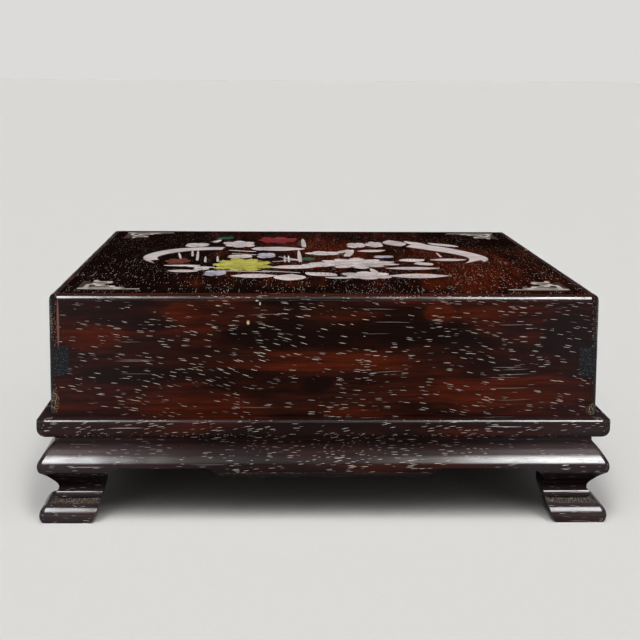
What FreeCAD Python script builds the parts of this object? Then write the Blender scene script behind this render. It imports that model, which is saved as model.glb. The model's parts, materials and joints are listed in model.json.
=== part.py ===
import FreeCAD, Part
import math
import os

from FreeCAD import Placement, Rotation, Vector
from Sketcher import Constraint

# A box for an inkstone and an ink stick: a deep lift-off lid of five boards over a low base on bracket
# feet. Millimetres; Z up; the origin is on the floor under the middle of the box; the front is at -Y.

doc = FreeCAD.newDocument("InkstoneBox")
sheet = doc.addObject("Spreadsheet::Sheet", "Sizes")

DRIVING_SIZES = (
    # lid
    ("lid_width", 150.0),
    ("lid_depth", 180.0),
    ("lid_height", 33.8),
    ("board_thickness", 5.3),
    ("panel_thickness", 5.0),
    ("lip_width", 2.6),
    ("corner_round", 2.4),
    ("top_round", 1.6),
    ("tongue_height", 8.0),
    ("tongue_rise", 11.5),
    ("tongue_round", 2.0),
    # moulded frame that the lid stands on
    ("moulding_out", 3.6),
    ("moulding_height", 5.2),
    ("moulding_corner", 2.6),
    ("moulding_top_round", 0.8),
    ("moulding_under_round", 2.2),
    ("frame_inset", 14.2),
    # tray board
    ("rim_clearance", 0.3),
    ("rim_height", 4.8),
    ("rim_round", 0.8),
    ("tray_drop", 4.0),
    ("stone_width", 82.4),
    ("stone_length", 127.4),
    ("stone_height", 20.0),
    ("stone_offset", 15.5),
    ("stone_corner", 3.0),
    ("bed_clearance", 0.3),
    ("bed_depth", 9.5),
    ("finger_radius", 9.0),
    ("stick_width", 20.0),
    ("stick_length", 100.0),
    ("stick_thickness", 9.0),
    ("stick_offset", 46.5),
    ("slot_depth", 5.5),
    ("web_gap", 24.0),
    # plinth: waist, bulging apron and outward-curling bracket feet, as distances out from the lid's face
    ("plinth_height", 24.0),
    ("waist_in", 1.0),
    ("waist_level", 22.4),
    ("slope_out", 3.0),
    ("slope_level", 17.5),
    ("bulge_out", 3.6),
    ("bulge_level", 15.7),
    ("shoulder_out", 3.3),
    ("shoulder_level", 14.4),
    ("knee_in", 0.4),
    ("knee_level", 11.5),
    ("neck_in", 1.8),
    ("neck_level", 9.6),
    ("bead_top", 8.5),
    ("bead_in", 1.0),
    ("bead_bottom", 6.0),
    ("shelf_out", 1.0),
    ("toe_top", 5.0),
    ("toe_out", 3.2),
    ("sole_out", 2.6),
    ("corner_soften", 1.4),
    # plinth: outline of the apron between two feet, as distances in from the lid's side face
    ("apron_middle", 12.4),
    ("arch_level", 15.7),
    ("drop_inset", 48.5),
    ("ogee_inset", 42.0),
    ("arch_inset", 21.5),
    ("leg_inset", 14.0),
    ("sole_inset", 10.9),
    ("apron_inset", 6.0),
    # inkstone: a grinding field inside a border, running down into a well at the back
    ("stone_arris", 1.0),
    ("stone_border", 8.0),
    ("field_depth", 2.2),
    ("field_corner", 7.0),
    ("well_depth", 9.0),
    ("well_margin", 3.0),
    ("well_slope_start", 34.0),
    ("well_slope_end", 12.0),
    ("well_floor_end", 5.0),
    ("well_lip", 1.5),
    # ink stick: rounded, with a sunk panel inside a raised border
    ("stick_corner", 2.5),
    ("stick_arris", 1.2),
    ("stick_border", 3.0),
    ("stick_sunk", 0.5),
    ("stick_panel_corner", 1.5),
    # inlay, and the corner scrolls' place and arms
    ("inlay_sunk", 1.0),
    ("inlay_proud", 0.2),
    ("peony_proud", 0.4),
    ("scroll_inset_x", 6.4),
    ("scroll_inset_y", 9.5),
    ("scroll_arm_x", 17.5),
    ("scroll_arm_y", 20.0),
    # how far cutting shapes run past the box, and how far in the mitre saw cuts
    ("clear_run", 12.0),
    ("mitre_run", 20.0),
)

for row, (alias, size) in enumerate(DRIVING_SIZES, start=1):
    sheet.set("A%d" % row, alias)
    sheet.set("B%d" % row, str(size))
    sheet.setAlias("B%d" % row, alias)
doc.recompute()

HALF_WIDTH = "Sizes.lid_width / 2"
HALF_DEPTH = "Sizes.lid_depth / 2"
LEDGE = "(Sizes.plinth_height + Sizes.moulding_height)"
LID_TOP = "(Sizes.plinth_height + Sizes.moulding_height + Sizes.lid_height)"
RIM_TOP = "(Sizes.plinth_height + Sizes.moulding_height + Sizes.rim_height)"


# ---------------------------------------------------------------- how a joiner's operations are written

def block(name, low, high):
    """A rectangular block between two corners, each given as three formulas."""
    box = doc.addObject("Part::Box", name)
    for axis, size, start, end in zip("xyz", ("Length", "Width", "Height"), low, high):
        box.setExpression("Placement.Base." + axis, start)
        box.setExpression(size, "(%s) - (%s)" % (end, start))
    return box


def joined(kind, name, base, tool):
    """A Cut, Common or Fuse of two objects, kept as an object of its own."""
    result = doc.addObject("Part::" + kind, name)
    result.Base = base
    result.Tool = tool
    return result


def sketch_on(body, plane_role, name, lift="0"):
    """A sketch on one of the body's own planes, lifted along that plane's normal."""
    sketch = body.newObject("Sketcher::SketchObject", name)
    plane = [item for item in body.Origin.OriginFeatures if item.Role == plane_role][0]
    sketch.AttachmentSupport = [(plane, "")]
    sketch.MapMode = "FlatFace"
    sketch.setExpression("AttachmentOffset.Base.z", lift)
    return sketch


def pin_point(sketch, geometry, position, spot):
    """Hold one sketch point at (x, y), given as formulas, by its distances from the sketch's origin."""
    for direction, formula in zip(("DistanceX", "DistanceY"), spot):
        size = float(sketch.evalExpression(formula))
        number = sketch.addConstraint(Constraint(direction, -1, 1, geometry, position, size))
        sketch.setExpression("Constraints[%d]" % number, formula)


def outline(sketch, corners, bows=None):
    """Close a wire through corners, given as (x, y) pairs of formulas.

    bows names, by a corner's number, the point through which an arc leads on from that corner.
    """
    bows = bows or {}

    def place(spot):
        return Vector(float(sketch.evalExpression(spot[0])), float(sketch.evalExpression(spot[1])), 0)

    places = [place(corner) for corner in corners]
    ends = []
    for number, start in enumerate(places):
        finish = places[(number + 1) % len(places)]
        if number in bows:
            edge = sketch.addGeometry(Part.Arc(start, place(bows[number]), finish), False)
            on_arc = sketch.addGeometry(Part.Point(place(bows[number])), True)
            pin_point(sketch, on_arc, 1, bows[number])
            sketch.addConstraint(Constraint("PointOnObject", on_arc, 1, edge))
        else:
            edge = sketch.addGeometry(Part.LineSegment(start, finish), False)
        forward = sketch.getPoint(edge, 1).distanceToPoint(start) < 1e-6
        ends.append((edge, 1 if forward else 2, 2 if forward else 1))
    for number, (edge, first, last) in enumerate(ends):
        pin_point(sketch, edge, first, corners[number])
        next_edge, next_first, _ = ends[(number + 1) % len(ends)]
        sketch.addConstraint(Constraint("Coincident", edge, last, next_edge, next_first))


def symmetrical_outline(sketch, chain):
    """A closed outline from one half of it, mirrored about the upright axis.

    chain runs from one end to the other on the +x side: x, z and, where an arc leads on, the point it passes.
    """
    count = len(chain)
    corners = [(x, z) for x, z, _ in chain] + [("-(%s)" % x, z) for x, z, _ in reversed(chain)]
    bows = {}
    for number, (_, _, bow) in enumerate(chain):
        if bow:
            bows[number] = bow
            bows[2 * count - 2 - number] = ("-(%s)" % bow[0], bow[1])
    outline(sketch, corners, bows)


def rectangle(sketch, half_x, half_y, centre_x="0", centre_y="0"):
    low_x, high_x = "%s - (%s)" % (centre_x, half_x), "%s + %s" % (centre_x, half_x)
    low_y, high_y = "%s - (%s)" % (centre_y, half_y), "%s + %s" % (centre_y, half_y)
    outline(sketch, [(low_x, low_y), (high_x, low_y), (high_x, high_y), (low_x, high_y)])


def circle(sketch, radius, centre_x, centre_y):
    middle = Vector(float(sketch.evalExpression(centre_x)), float(sketch.evalExpression(centre_y)), 0)
    ring = sketch.addGeometry(Part.Circle(middle, Vector(0, 0, 1), float(sketch.evalExpression(radius))))
    pin_point(sketch, ring, 3, (centre_x, centre_y))
    number = sketch.addConstraint(Constraint("Radius", ring, float(sketch.evalExpression(radius))))
    sketch.setExpression("Constraints[%d]" % number, radius)


def pad(body, name, sketch, length, both_ways=False):
    feature = body.newObject("PartDesign::Pad", name)
    feature.Profile = sketch
    feature.SideType = "Symmetric" if both_ways else "One side"
    feature.setExpression("Length", length)
    return feature


def pocket(body, name, sketch, depth=None):
    """Cut down into the body from the sketch, or right through it both ways where no depth is given."""
    feature = body.newObject("PartDesign::Pocket", name)
    feature.Profile = sketch
    if depth is None:
        feature.Type = "ThroughAll"
        feature.SideType = "Symmetric"
    else:
        feature.setExpression("Length", depth)
    return feature


def edges_where(shape, wanted):
    return ["Edge%d" % number for number, edge in enumerate(shape.Edges, start=1) if wanted(edge)]


def rounded(body, name, feature, radius, wanted):
    """Round the edges of the last feature for which wanted(edge) is true."""
    doc.recompute()
    fillet = body.newObject("PartDesign::Fillet", name)
    fillet.Base = (feature, edges_where(feature.Shape, wanted))
    fillet.setExpression("Radius", radius)
    doc.recompute()
    return fillet


def is_upright(edge):
    box = edge.BoundBox
    return box.XLength < 1e-6 and box.YLength < 1e-6


def lies_at(level):
    def test(edge):
        return abs(edge.BoundBox.ZMin - level) < 1e-6 and abs(edge.BoundBox.ZMax - level) < 1e-6
    return test


def length_of(formula):
    return float(sheet.evalExpression(formula))


# ---------------------------------------------------------------- lid: four boards tongued at the corners

def lid_blank():
    """The lid's whole outside, rounded as it is after gluing up; each board is taken out of it."""
    body = doc.addObject("PartDesign::Body", "LidBlank")
    sketch = sketch_on(body, "XY_Plane", "LidPlan", LEDGE)
    rectangle(sketch, HALF_WIDTH, HALF_DEPTH)
    feature = pad(body, "LidHeight", sketch, "Sizes.lid_height")
    feature = rounded(body, "LidCorners", feature, "Sizes.corner_round", is_upright)
    rounded(body, "LidArris", feature, "Sizes.top_round", lies_at(length_of(LID_TOP)))
    return body


def tongue_bar(name, side):
    """A bar as deep as the lid; its two ends are one side board's tongues, rounded at the lower inside."""
    body = doc.addObject("PartDesign::Body", name)
    sketch = sketch_on(body, "XZ_Plane", name + "Section")
    outer = "%d * Sizes.lid_width / 2" % side
    inner = "%d * (Sizes.lid_width / 2 - Sizes.board_thickness)" % side
    low = LEDGE + " + Sizes.tongue_rise"
    high = low + " + Sizes.tongue_height"
    outline(sketch, [(outer, low), (inner, low), (inner, high), (outer, high)])
    feature = pad(body, name + "Run", sketch, "Sizes.lid_depth", both_ways=True)
    inner_x = length_of(inner)
    low_z = length_of(low)

    def lower_inside(edge):
        middle = edge.CenterOfMass
        return abs(middle.x - inner_x) < 1e-6 and abs(middle.z - low_z) < 1e-6

    rounded(body, name + "Round", feature, "Sizes.tongue_round", lower_inside)
    return body


def lid_panel_seat():
    """The block that the top panel fills: sunk flush between the boards' lips."""
    inset_x = "(Sizes.lid_width / 2 - Sizes.lip_width)"
    inset_y = "(Sizes.lid_depth / 2 - Sizes.lip_width)"
    return block("PanelSeat", ("-" + inset_x, "-" + inset_y, LID_TOP + " - Sizes.panel_thickness"),
                 (inset_x, inset_y, LID_TOP))


def end_board(label, side, blank, bars, seat):
    """Front or back board: full width, notched at mid-height for the side boards' tongues."""
    inner = "%d * (Sizes.lid_depth / 2 - Sizes.board_thickness)" % side
    outer = "%d * Sizes.lid_depth / 2" % side
    near, far = (outer, inner) if side < 0 else (inner, outer)
    stock = block(label + "_stock", ("-Sizes.lid_width / 2", near, LEDGE), (HALF_WIDTH, far, LID_TOP))
    board = joined("Common", label + "_rounded", blank, stock)
    for number, tool in enumerate((bars[0], bars[1], seat)):
        board = joined("Cut", "%s_cut_%d" % (label, number), board, tool)
    board.Label = label


def side_board(label, side, blank, bar, seat):
    """Left or right board: between the front and back boards, with one tongue through each of them."""
    inner = "%d * (Sizes.lid_width / 2 - Sizes.board_thickness)" % side
    outer = "%d * Sizes.lid_width / 2" % side
    near, far = (outer, inner) if side < 0 else (inner, outer)
    shoulder = "(Sizes.lid_depth / 2 - Sizes.board_thickness)"
    stock = block(label + "_stock", (near, "-" + shoulder, LEDGE), (far, shoulder, LID_TOP))
    board = joined("Fuse", label + "_tongued", stock, bar)
    board = joined("Common", label + "_rounded", board, blank)
    board = joined("Cut", label + "_lipped", board, seat)
    board.Label = label


# ---------------------------------------------------------------- base: plinth, moulded frame, tray board

def mitre_wedges():
    """Four upright wedges, split on the box's corner mitres, that part the plinth and the frame."""
    wedges = {}
    outer_x, outer_y = (half + " + Sizes.clear_run" for half in (HALF_WIDTH, HALF_DEPTH))
    inner_x, inner_y = (half + " - Sizes.mitre_run" for half in (HALF_WIDTH, HALF_DEPTH))

    def corners(side_x, side_y):
        """The outer and the inner end of the mitre at one corner of the box."""
        return [("%d * (%s)" % (side_x, x), "%d * (%s)" % (side_y, y))
                for x, y in ((outer_x, outer_y), (inner_x, inner_y))]

    front_left, front_right = corners(-1, -1), corners(1, -1)
    back_right, back_left = corners(1, 1), corners(-1, 1)
    ends = {"front": (front_left, front_right), "right": (front_right, back_right),
            "back": (back_right, back_left), "left": (back_left, front_left)}
    for side, (start, end) in ends.items():
        body = doc.addObject("PartDesign::Body", side.capitalize() + "Wedge")
        sketch = sketch_on(body, "XY_Plane", side.capitalize() + "WedgePlan")
        outline(sketch, [start[0], end[0], end[1], start[1]])
        pad(body, side.capitalize() + "WedgeHeight", sketch, LEDGE)
        wedges[side] = body
    return wedges


def silhouette(sketch, half_span):
    """The plinth seen square on: waist, bulging apron, neck, bead, hollow and curled toe on both sides."""
    def out(size):
        return "%s + Sizes.%s" % (half_span, size)

    def inside(size):
        return "%s - Sizes.%s" % (half_span, size)

    descent = [
        (inside("waist_in"), "Sizes.plinth_height", None),
        (inside("waist_in"), "Sizes.waist_level",
         (half_span + " - 0.5 * Sizes.waist_in + 0.55 * Sizes.slope_out",
          "(0.53 * Sizes.waist_level + 0.47 * Sizes.slope_level)")),
        (out("slope_out"), "Sizes.slope_level", (out("bulge_out"), "Sizes.bulge_level")),
        (out("shoulder_out"), "Sizes.shoulder_level",
         (half_span + " + 0.45 * Sizes.shoulder_out - 0.5 * Sizes.knee_in",
          "(0.55 * Sizes.shoulder_level + 0.45 * Sizes.knee_level)")),
        (inside("knee_in"), "Sizes.knee_level",
         (half_span + " - 0.78 * Sizes.neck_in", "(0.4 * Sizes.knee_level + 0.6 * Sizes.neck_level)")),
        (inside("neck_in"), "Sizes.neck_level", None),
        (inside("neck_in"), "Sizes.bead_top",
         (inside("bead_in"), "(Sizes.bead_top + Sizes.bead_bottom) / 2")),
        (inside("neck_in"), "Sizes.bead_bottom",
         (half_span + " - 0.35 * Sizes.neck_in + 0.3 * Sizes.shelf_out",
          "(0.35 * Sizes.bead_bottom + 0.65 * Sizes.toe_top)")),
        (out("shelf_out"), "Sizes.toe_top", (out("toe_out"), "0.52 * Sizes.toe_top")),
        (out("sole_out"), "0", None),
    ]
    symmetrical_outline(sketch, descent)


def apron_opening(sketch, half_span):
    """What is sawn away between two feet: an arch with an ogee step to the deeper middle of the apron."""
    def inset(size):
        return "(%s - Sizes.%s)" % (half_span, size)

    run = "(Sizes.drop_inset - Sizes.ogee_inset)"
    fall = "(Sizes.arch_level - Sizes.apron_middle)"
    below = "-1"
    rise = [
        (inset("sole_inset"), below, None),
        (inset("sole_inset"), "0", ("%s - 0.6 * Sizes.leg_inset - 0.4 * Sizes.sole_inset" % half_span,
                                    "Sizes.bead_top / 2")),
        (inset("leg_inset"), "Sizes.bead_top", None),
        (inset("leg_inset"), "Sizes.knee_level",
         ("%s - 0.7 * Sizes.leg_inset - 0.3 * Sizes.arch_inset" % half_span,
          "(0.72 * Sizes.arch_level + 0.28 * Sizes.knee_level)")),
        (inset("arch_inset"), "Sizes.arch_level", None),
        (inset("ogee_inset"), "Sizes.arch_level",
         (inset("ogee_inset") + " - 0.28 * " + run, "Sizes.arch_level - 0.13 * " + fall)),
        (inset("ogee_inset") + " - 0.5 * " + run, "Sizes.arch_level - 0.5 * " + fall,
         (inset("drop_inset") + " + 0.28 * " + run, "Sizes.apron_middle + 0.13 * " + fall)),
        (inset("drop_inset"), "Sizes.apron_middle", None),
    ]
    symmetrical_outline(sketch, rise)


def plinth_blank():
    """The whole plinth in one: moulded across both ways, softened at the corners, sawn out and hollowed."""
    body = doc.addObject("PartDesign::Body", "PlinthBlank")
    sketch = sketch_on(body, "XZ_Plane", "FrontSilhouette")
    silhouette(sketch, HALF_WIDTH)
    pad(body, "FrontRun", sketch, "Sizes.lid_depth + 2 * Sizes.clear_run", both_ways=True)

    sketch = sketch_on(body, "YZ_Plane", "SideSilhouette")
    silhouette(sketch, HALF_DEPTH)
    edge_y = "(%s + Sizes.clear_run + 1)" % HALF_DEPTH
    outline(sketch, [("-" + edge_y, "-1"), (edge_y, "-1"),
                     (edge_y, "Sizes.plinth_height + 1"), ("-" + edge_y, "Sizes.plinth_height + 1")])
    feature = pocket(body, "SideRun", sketch)

    half_x, half_y = length_of(HALF_WIDTH), length_of(HALF_DEPTH)
    waist = length_of("Sizes.waist_level")
    shoulder = length_of("Sizes.shoulder_level")
    toe = length_of("Sizes.toe_top")

    def proud_corner(edge):
        on_mitre = all(abs((abs(v.X) - half_x) - (abs(v.Y) - half_y)) < 1e-4 for v in edge.Vertexes)
        box = edge.BoundBox
        rising = box.ZMax - box.ZMin > 0.5
        on_bulge = box.ZMin > shoulder - 0.01 and box.ZMax < waist + 0.01
        on_toe = box.ZMax < toe + 0.01
        return on_mitre and rising and (on_bulge or on_toe)

    rounded(body, "PlinthCorners", feature, "Sizes.corner_soften", proud_corner)

    sketch = sketch_on(body, "XZ_Plane", "FrontOpening")
    apron_opening(sketch, HALF_WIDTH)
    pocket(body, "FrontSawn", sketch)
    sketch = sketch_on(body, "YZ_Plane", "SideOpening")
    apron_opening(sketch, HALF_DEPTH)
    pocket(body, "SideSawn", sketch)

    thin_x, thin_y = "(%s - Sizes.apron_inset)" % HALF_WIDTH, "(%s - Sizes.apron_inset)" % HALF_DEPTH
    leg_x, leg_y = "(%s - Sizes.leg_inset)" % HALF_WIDTH, "(%s - Sizes.leg_inset)" % HALF_DEPTH
    sketch = sketch_on(body, "XY_Plane", "Hollow")
    outline(sketch, [(leg_x, "-" + thin_y), (leg_x, "-" + leg_y), (thin_x, "-" + leg_y), (thin_x, leg_y),
                     (leg_x, leg_y), (leg_x, thin_y), ("-" + leg_x, thin_y), ("-" + leg_x, leg_y),
                     ("-" + thin_x, leg_y), ("-" + thin_x, "-" + leg_y), ("-" + leg_x, "-" + leg_y),
                     ("-" + leg_x, "-" + thin_y)])
    pocket(body, "Hollowed", sketch)
    return body


def frame_blank():
    """The frame under the lid before it is parted: moulded outside, open inside for the tray board."""
    body = doc.addObject("PartDesign::Body", "FrameBlank")
    sketch = sketch_on(body, "XY_Plane", "FramePlan", "Sizes.plinth_height")
    rectangle(sketch, HALF_WIDTH + " + Sizes.moulding_out", HALF_DEPTH + " + Sizes.moulding_out")
    feature = pad(body, "FrameHeight", sketch, "Sizes.moulding_height")
    feature = rounded(body, "FrameCorners", feature, "Sizes.moulding_corner", is_upright)
    feature = rounded(body, "FrameUnder", feature, "Sizes.moulding_under_round",
                      lies_at(length_of("Sizes.plinth_height")))
    rounded(body, "FrameArris", feature, "Sizes.moulding_top_round", lies_at(length_of(LEDGE)))
    sketch = sketch_on(body, "XY_Plane", "FrameOpening", LEDGE)
    rectangle(sketch, "(%s - Sizes.frame_inset)" % HALF_WIDTH, "(%s - Sizes.frame_inset)" % HALF_DEPTH)
    pocket(body, "FrameOpened", sketch)
    return body


def tray_board():
    """The board inside the frame: a raised rim that locates the lid, a bed for the stone, a slot for the
    stick, a finger notch at each end of the bed and a gap through the web between bed and slot."""
    body = doc.addObject("PartDesign::Body", "tray_board")
    sketch = sketch_on(body, "XY_Plane", "TrayCore", "Sizes.plinth_height - Sizes.tray_drop")
    rectangle(sketch, "(%s - Sizes.frame_inset)" % HALF_WIDTH, "(%s - Sizes.frame_inset)" % HALF_DEPTH)
    pad(body, "TrayCorePad", sketch, "Sizes.moulding_height + Sizes.tray_drop")
    sketch = sketch_on(body, "XY_Plane", "TrayRim", LEDGE)
    inset = "Sizes.board_thickness - Sizes.rim_clearance"
    rectangle(sketch, "(%s - %s)" % (HALF_WIDTH, inset), "(%s - %s)" % (HALF_DEPTH, inset))
    feature = pad(body, "TrayRimPad", sketch, "Sizes.rim_height")
    rounded(body, "RimArris", feature, "Sizes.rim_round", lies_at(length_of(RIM_TOP)))

    sketch = sketch_on(body, "XY_Plane", "StoneBed", RIM_TOP)
    half_bed = "(Sizes.stone_length / 2 + Sizes.bed_clearance)"
    rectangle(sketch, "(Sizes.stone_width / 2 + Sizes.bed_clearance)", half_bed, "-Sizes.stone_offset")
    feature = pocket(body, "StoneBedCut", sketch, "Sizes.bed_depth")
    bed_x = length_of("Sizes.stone_offset") + length_of("Sizes.stone_width / 2 + Sizes.bed_clearance")
    bed_y = length_of(half_bed)

    def bed_corner(edge):
        middle = edge.CenterOfMass
        return is_upright(edge) and abs(abs(middle.y) - bed_y) < 1e-4 and middle.x > -bed_x - 1e-4

    rounded(body, "BedCorners", feature, "Sizes.stone_corner + Sizes.bed_clearance", bed_corner)
    for name, side in (("Front", -1), ("Back", 1)):
        sketch = sketch_on(body, "XY_Plane", name + "Notch", RIM_TOP)
        circle(sketch, "Sizes.finger_radius", "-Sizes.stone_offset", "%d * %s" % (side, half_bed))
        pocket(body, name + "NotchCut", sketch, "Sizes.bed_depth")

    sketch = sketch_on(body, "XY_Plane", "StickSlot", RIM_TOP)
    rectangle(sketch, "(Sizes.stick_width / 2 + Sizes.bed_clearance)",
              "(Sizes.stick_length / 2 + Sizes.bed_clearance)", "Sizes.stick_offset")
    pocket(body, "StickSlotCut", sketch, "Sizes.slot_depth")
    sketch = sketch_on(body, "XY_Plane", "WebGap", RIM_TOP)
    bed_right = "(Sizes.stone_width / 2 + Sizes.bed_clearance - Sizes.stone_offset)"
    slot_left = "(Sizes.stick_offset - Sizes.stick_width / 2 - Sizes.bed_clearance)"
    outline(sketch, [(bed_right + " - 1", "-Sizes.web_gap / 2"), (slot_left + " + 1", "-Sizes.web_gap / 2"),
                     (slot_left + " + 1", "Sizes.web_gap / 2"), (bed_right + " - 1", "Sizes.web_gap / 2")])
    pocket(body, "WebGapCut", sketch, "Sizes.slot_depth")
    body.Label = "tray_board"


# ---------------------------------------------------------------- contents: inkstone and ink stick

def inkstone():
    """A slab with a shallow grinding field that runs down a slope into a deeper water well at the back."""
    body = doc.addObject("PartDesign::Body", "inkstone")
    sketch = sketch_on(body, "XY_Plane", "StonePlan")
    rectangle(sketch, "Sizes.stone_width / 2", "Sizes.stone_length / 2")
    feature = pad(body, "StoneHeight", sketch, "Sizes.stone_height")
    feature = rounded(body, "StoneCorners", feature, "Sizes.stone_corner", is_upright)
    stone_top = length_of("Sizes.stone_height")
    rounded(body, "StoneArris", feature, "Sizes.stone_arris", lies_at(stone_top))

    sketch = sketch_on(body, "XY_Plane", "GrindingField", "Sizes.stone_height")
    far_edge = "(Sizes.stone_length / 2 - Sizes.stone_border)"
    rectangle(sketch, "(Sizes.stone_width / 2 - Sizes.stone_border)", far_edge)
    feature = pocket(body, "GrindingFieldCut", sketch, "Sizes.field_depth")
    inner_x = length_of("Sizes.stone_width / 2 - Sizes.stone_border")

    def field_corner(edge):
        return is_upright(edge) and abs(abs(edge.CenterOfMass.x) - inner_x) < 1e-4

    rounded(body, "FieldCorners", feature, "Sizes.field_corner", field_corner)

    sketch = sketch_on(body, "YZ_Plane", "WellSection")
    field_level = "Sizes.stone_height - Sizes.field_depth"
    well_level = "Sizes.stone_height - Sizes.well_depth"
    above = "Sizes.stone_height + 1"
    slope_start, slope_end, floor_end, lip = (
        far_edge + " - Sizes.well_" + name for name in ("slope_start", "slope_end", "floor_end", "lip"))
    slope_middle = (far_edge + " - (Sizes.well_slope_start + Sizes.well_slope_end) / 2",
                    "Sizes.stone_height - 0.6 * Sizes.field_depth - 0.4 * Sizes.well_depth")
    back_middle = (far_edge + " - 0.7 * Sizes.well_lip - 0.3 * Sizes.well_floor_end",
                   "Sizes.stone_height - 0.25 * Sizes.field_depth - 0.75 * Sizes.well_depth")
    section = [(slope_start, field_level), (slope_end, well_level), (floor_end, well_level),
               (lip, field_level), (lip, above), (slope_start, above)]
    outline(sketch, section, {0: slope_middle, 2: back_middle})
    well = body.newObject("PartDesign::Pocket", "WellCut")
    well.Profile = sketch
    well.SideType = "Symmetric"
    well.setExpression("Length", "Sizes.stone_width - 2 * (Sizes.stone_border + Sizes.well_margin)")
    body.setExpression("Placement.Base.x", "-Sizes.stone_offset")
    body.setExpression("Placement.Base.z", RIM_TOP + " - Sizes.bed_depth")
    body.Label = "inkstone"


def ink_stick():
    """A pressed stick of ink: rounded arrises and a sunk panel within a raised border on its top."""
    body = doc.addObject("PartDesign::Body", "ink_stick")
    sketch = sketch_on(body, "XY_Plane", "StickPlan")
    rectangle(sketch, "Sizes.stick_width / 2", "Sizes.stick_length / 2")
    feature = pad(body, "StickHeight", sketch, "Sizes.stick_thickness")
    feature = rounded(body, "StickCorners", feature, "Sizes.stick_corner", is_upright)
    rounded(body, "StickArris", feature, "Sizes.stick_arris", lies_at(length_of("Sizes.stick_thickness")))
    sketch = sketch_on(body, "XY_Plane", "StickPanel", "Sizes.stick_thickness")
    inner_edge = "(Sizes.stick_width / 2 - Sizes.stick_border)"
    rectangle(sketch, inner_edge, "(Sizes.stick_length / 2 - Sizes.stick_border)")
    feature = pocket(body, "StickPanelCut", sketch, "Sizes.stick_sunk")
    inner_x = length_of(inner_edge)

    def panel_corner(edge):
        return is_upright(edge) and abs(abs(edge.CenterOfMass.x) - inner_x) < 1e-4

    rounded(body, "PanelCorners", feature, "Sizes.stick_panel_corner", panel_corner)
    body.setExpression("Placement.Base.x", "Sizes.stick_offset")
    body.setExpression("Placement.Base.z", RIM_TOP + " - Sizes.slot_depth")
    body.Label = "ink_stick"


# ---------------------------------------------------------------- inlay: sawn shell and stone in the panel

def scallop(x, y, radius_x, radius_y, lobes, depth, turn=0.0):
    """A flower's outline: arcs that swell out between notches on an ellipse."""
    def on_ellipse(share, size):
        angle = math.radians(turn) + 2 * math.pi * share / lobes
        return Vector(x + radius_x * size * math.cos(angle), y + radius_y * size * math.sin(angle), 0)

    edges = [Part.Arc(on_ellipse(lobe, 1 - depth), on_ellipse(lobe + 0.5, 1), on_ellipse(lobe + 1, 1 - depth))
             for lobe in range(lobes)]
    return Part.Wire([edge.toShape() for edge in edges])


def blade(x, y, length, width, turn, curl=0.0):
    """A pointed leaf: two arcs between its tips, both bent sideways by curl."""
    tips = Vector(-length / 2, 0, 0), Vector(length / 2, 0, 0)
    sides = Vector(0, curl + width / 2, 0), Vector(0, curl - width / 2, 0)
    arcs = Part.Arc(tips[0], sides[1], tips[1]), Part.Arc(tips[1], sides[0], tips[0])
    wire = Part.Wire([arc.toShape() for arc in arcs])
    wire.Placement = Placement(Vector(x, y, 0), Rotation(Vector(0, 0, 1), turn))
    return wire


def sickle(outer, inner, notch):
    """A long curved horn of shell: blunt at its upper end, forked at its lower one.

    outer runs from the long prong's tip to the upper end, inner from there to the short prong's tip.
    """
    edges = []
    for points in (outer, inner):
        curve = Part.BSplineCurve()
        curve.interpolate([Vector(x, y, 0) for x, y in points])
        edges.append(curve.toShape())
    turns = [Vector(x, y, 0) for x, y in (outer[-1], inner[0], inner[-1], notch, outer[0])]
    edges.insert(1, Part.LineSegment(turns[0], turns[1]).toShape())
    edges.append(Part.LineSegment(turns[2], turns[3]).toShape())
    edges.append(Part.LineSegment(turns[3], turns[4]).toShape())
    return Part.Wire(edges)


def corner_scroll(leg_x, leg_y):
    """A pierced corner piece: two tapering arms on a hollow-sided triangle, with three holes."""
    corner = Vector(0, 0, 0)
    tip_x, tip_y = Vector(leg_x, 0, 0), Vector(0, leg_y, 0)
    step_x, step_y = Vector(0.52 * leg_x, 0.2 * leg_y, 0), Vector(0.24 * leg_x, 0.5 * leg_y, 0)
    edges = [Part.LineSegment(corner, tip_x),
             Part.Arc(tip_x, Vector(0.74 * leg_x, 0.15 * leg_y, 0), step_x),
             Part.Arc(step_x, Vector(0.46 * leg_x, 0.4 * leg_y, 0), step_y),
             Part.Arc(step_y, Vector(0.18 * leg_x, 0.72 * leg_y, 0), tip_y),
             Part.LineSegment(tip_y, corner)]
    wires = [Part.Wire([edge.toShape() for edge in edges])]
    for share_x, share_y, radius in ((0.17, 0.15, 0.07), (0.42, 0.12, 0.05), (0.14, 0.4, 0.05)):
        ring = Part.Circle(Vector(share_x * leg_x, share_y * leg_y, 0), Vector(0, 0, 1), radius * leg_x)
        wires.append(Part.Wire([ring.toShape()]))
    return wires


def inlay(label, groups, proud):
    """One or more flat pieces let into the panel, each a list of wires: an outline and its holes."""
    low = length_of(LID_TOP) - length_of("Sizes.inlay_sunk")
    rise = Vector(0, 0, length_of("Sizes.inlay_sunk") + proud)
    pieces = []
    for wires in groups:
        solid = Part.Face(wires[0]).extrude(rise)
        for hole in wires[1:]:
            solid = solid.cut(Part.Face(hole).extrude(rise))
        pieces.append(solid.Solids[0])
    feature = doc.addObject("Part::Feature", label)
    feature.Shape = pieces[0] if len(pieces) == 1 else Part.makeCompound(pieces)
    feature.Placement = Placement(Vector(0, 0, low), Rotation())
    feature.Label = label
    return feature


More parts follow.
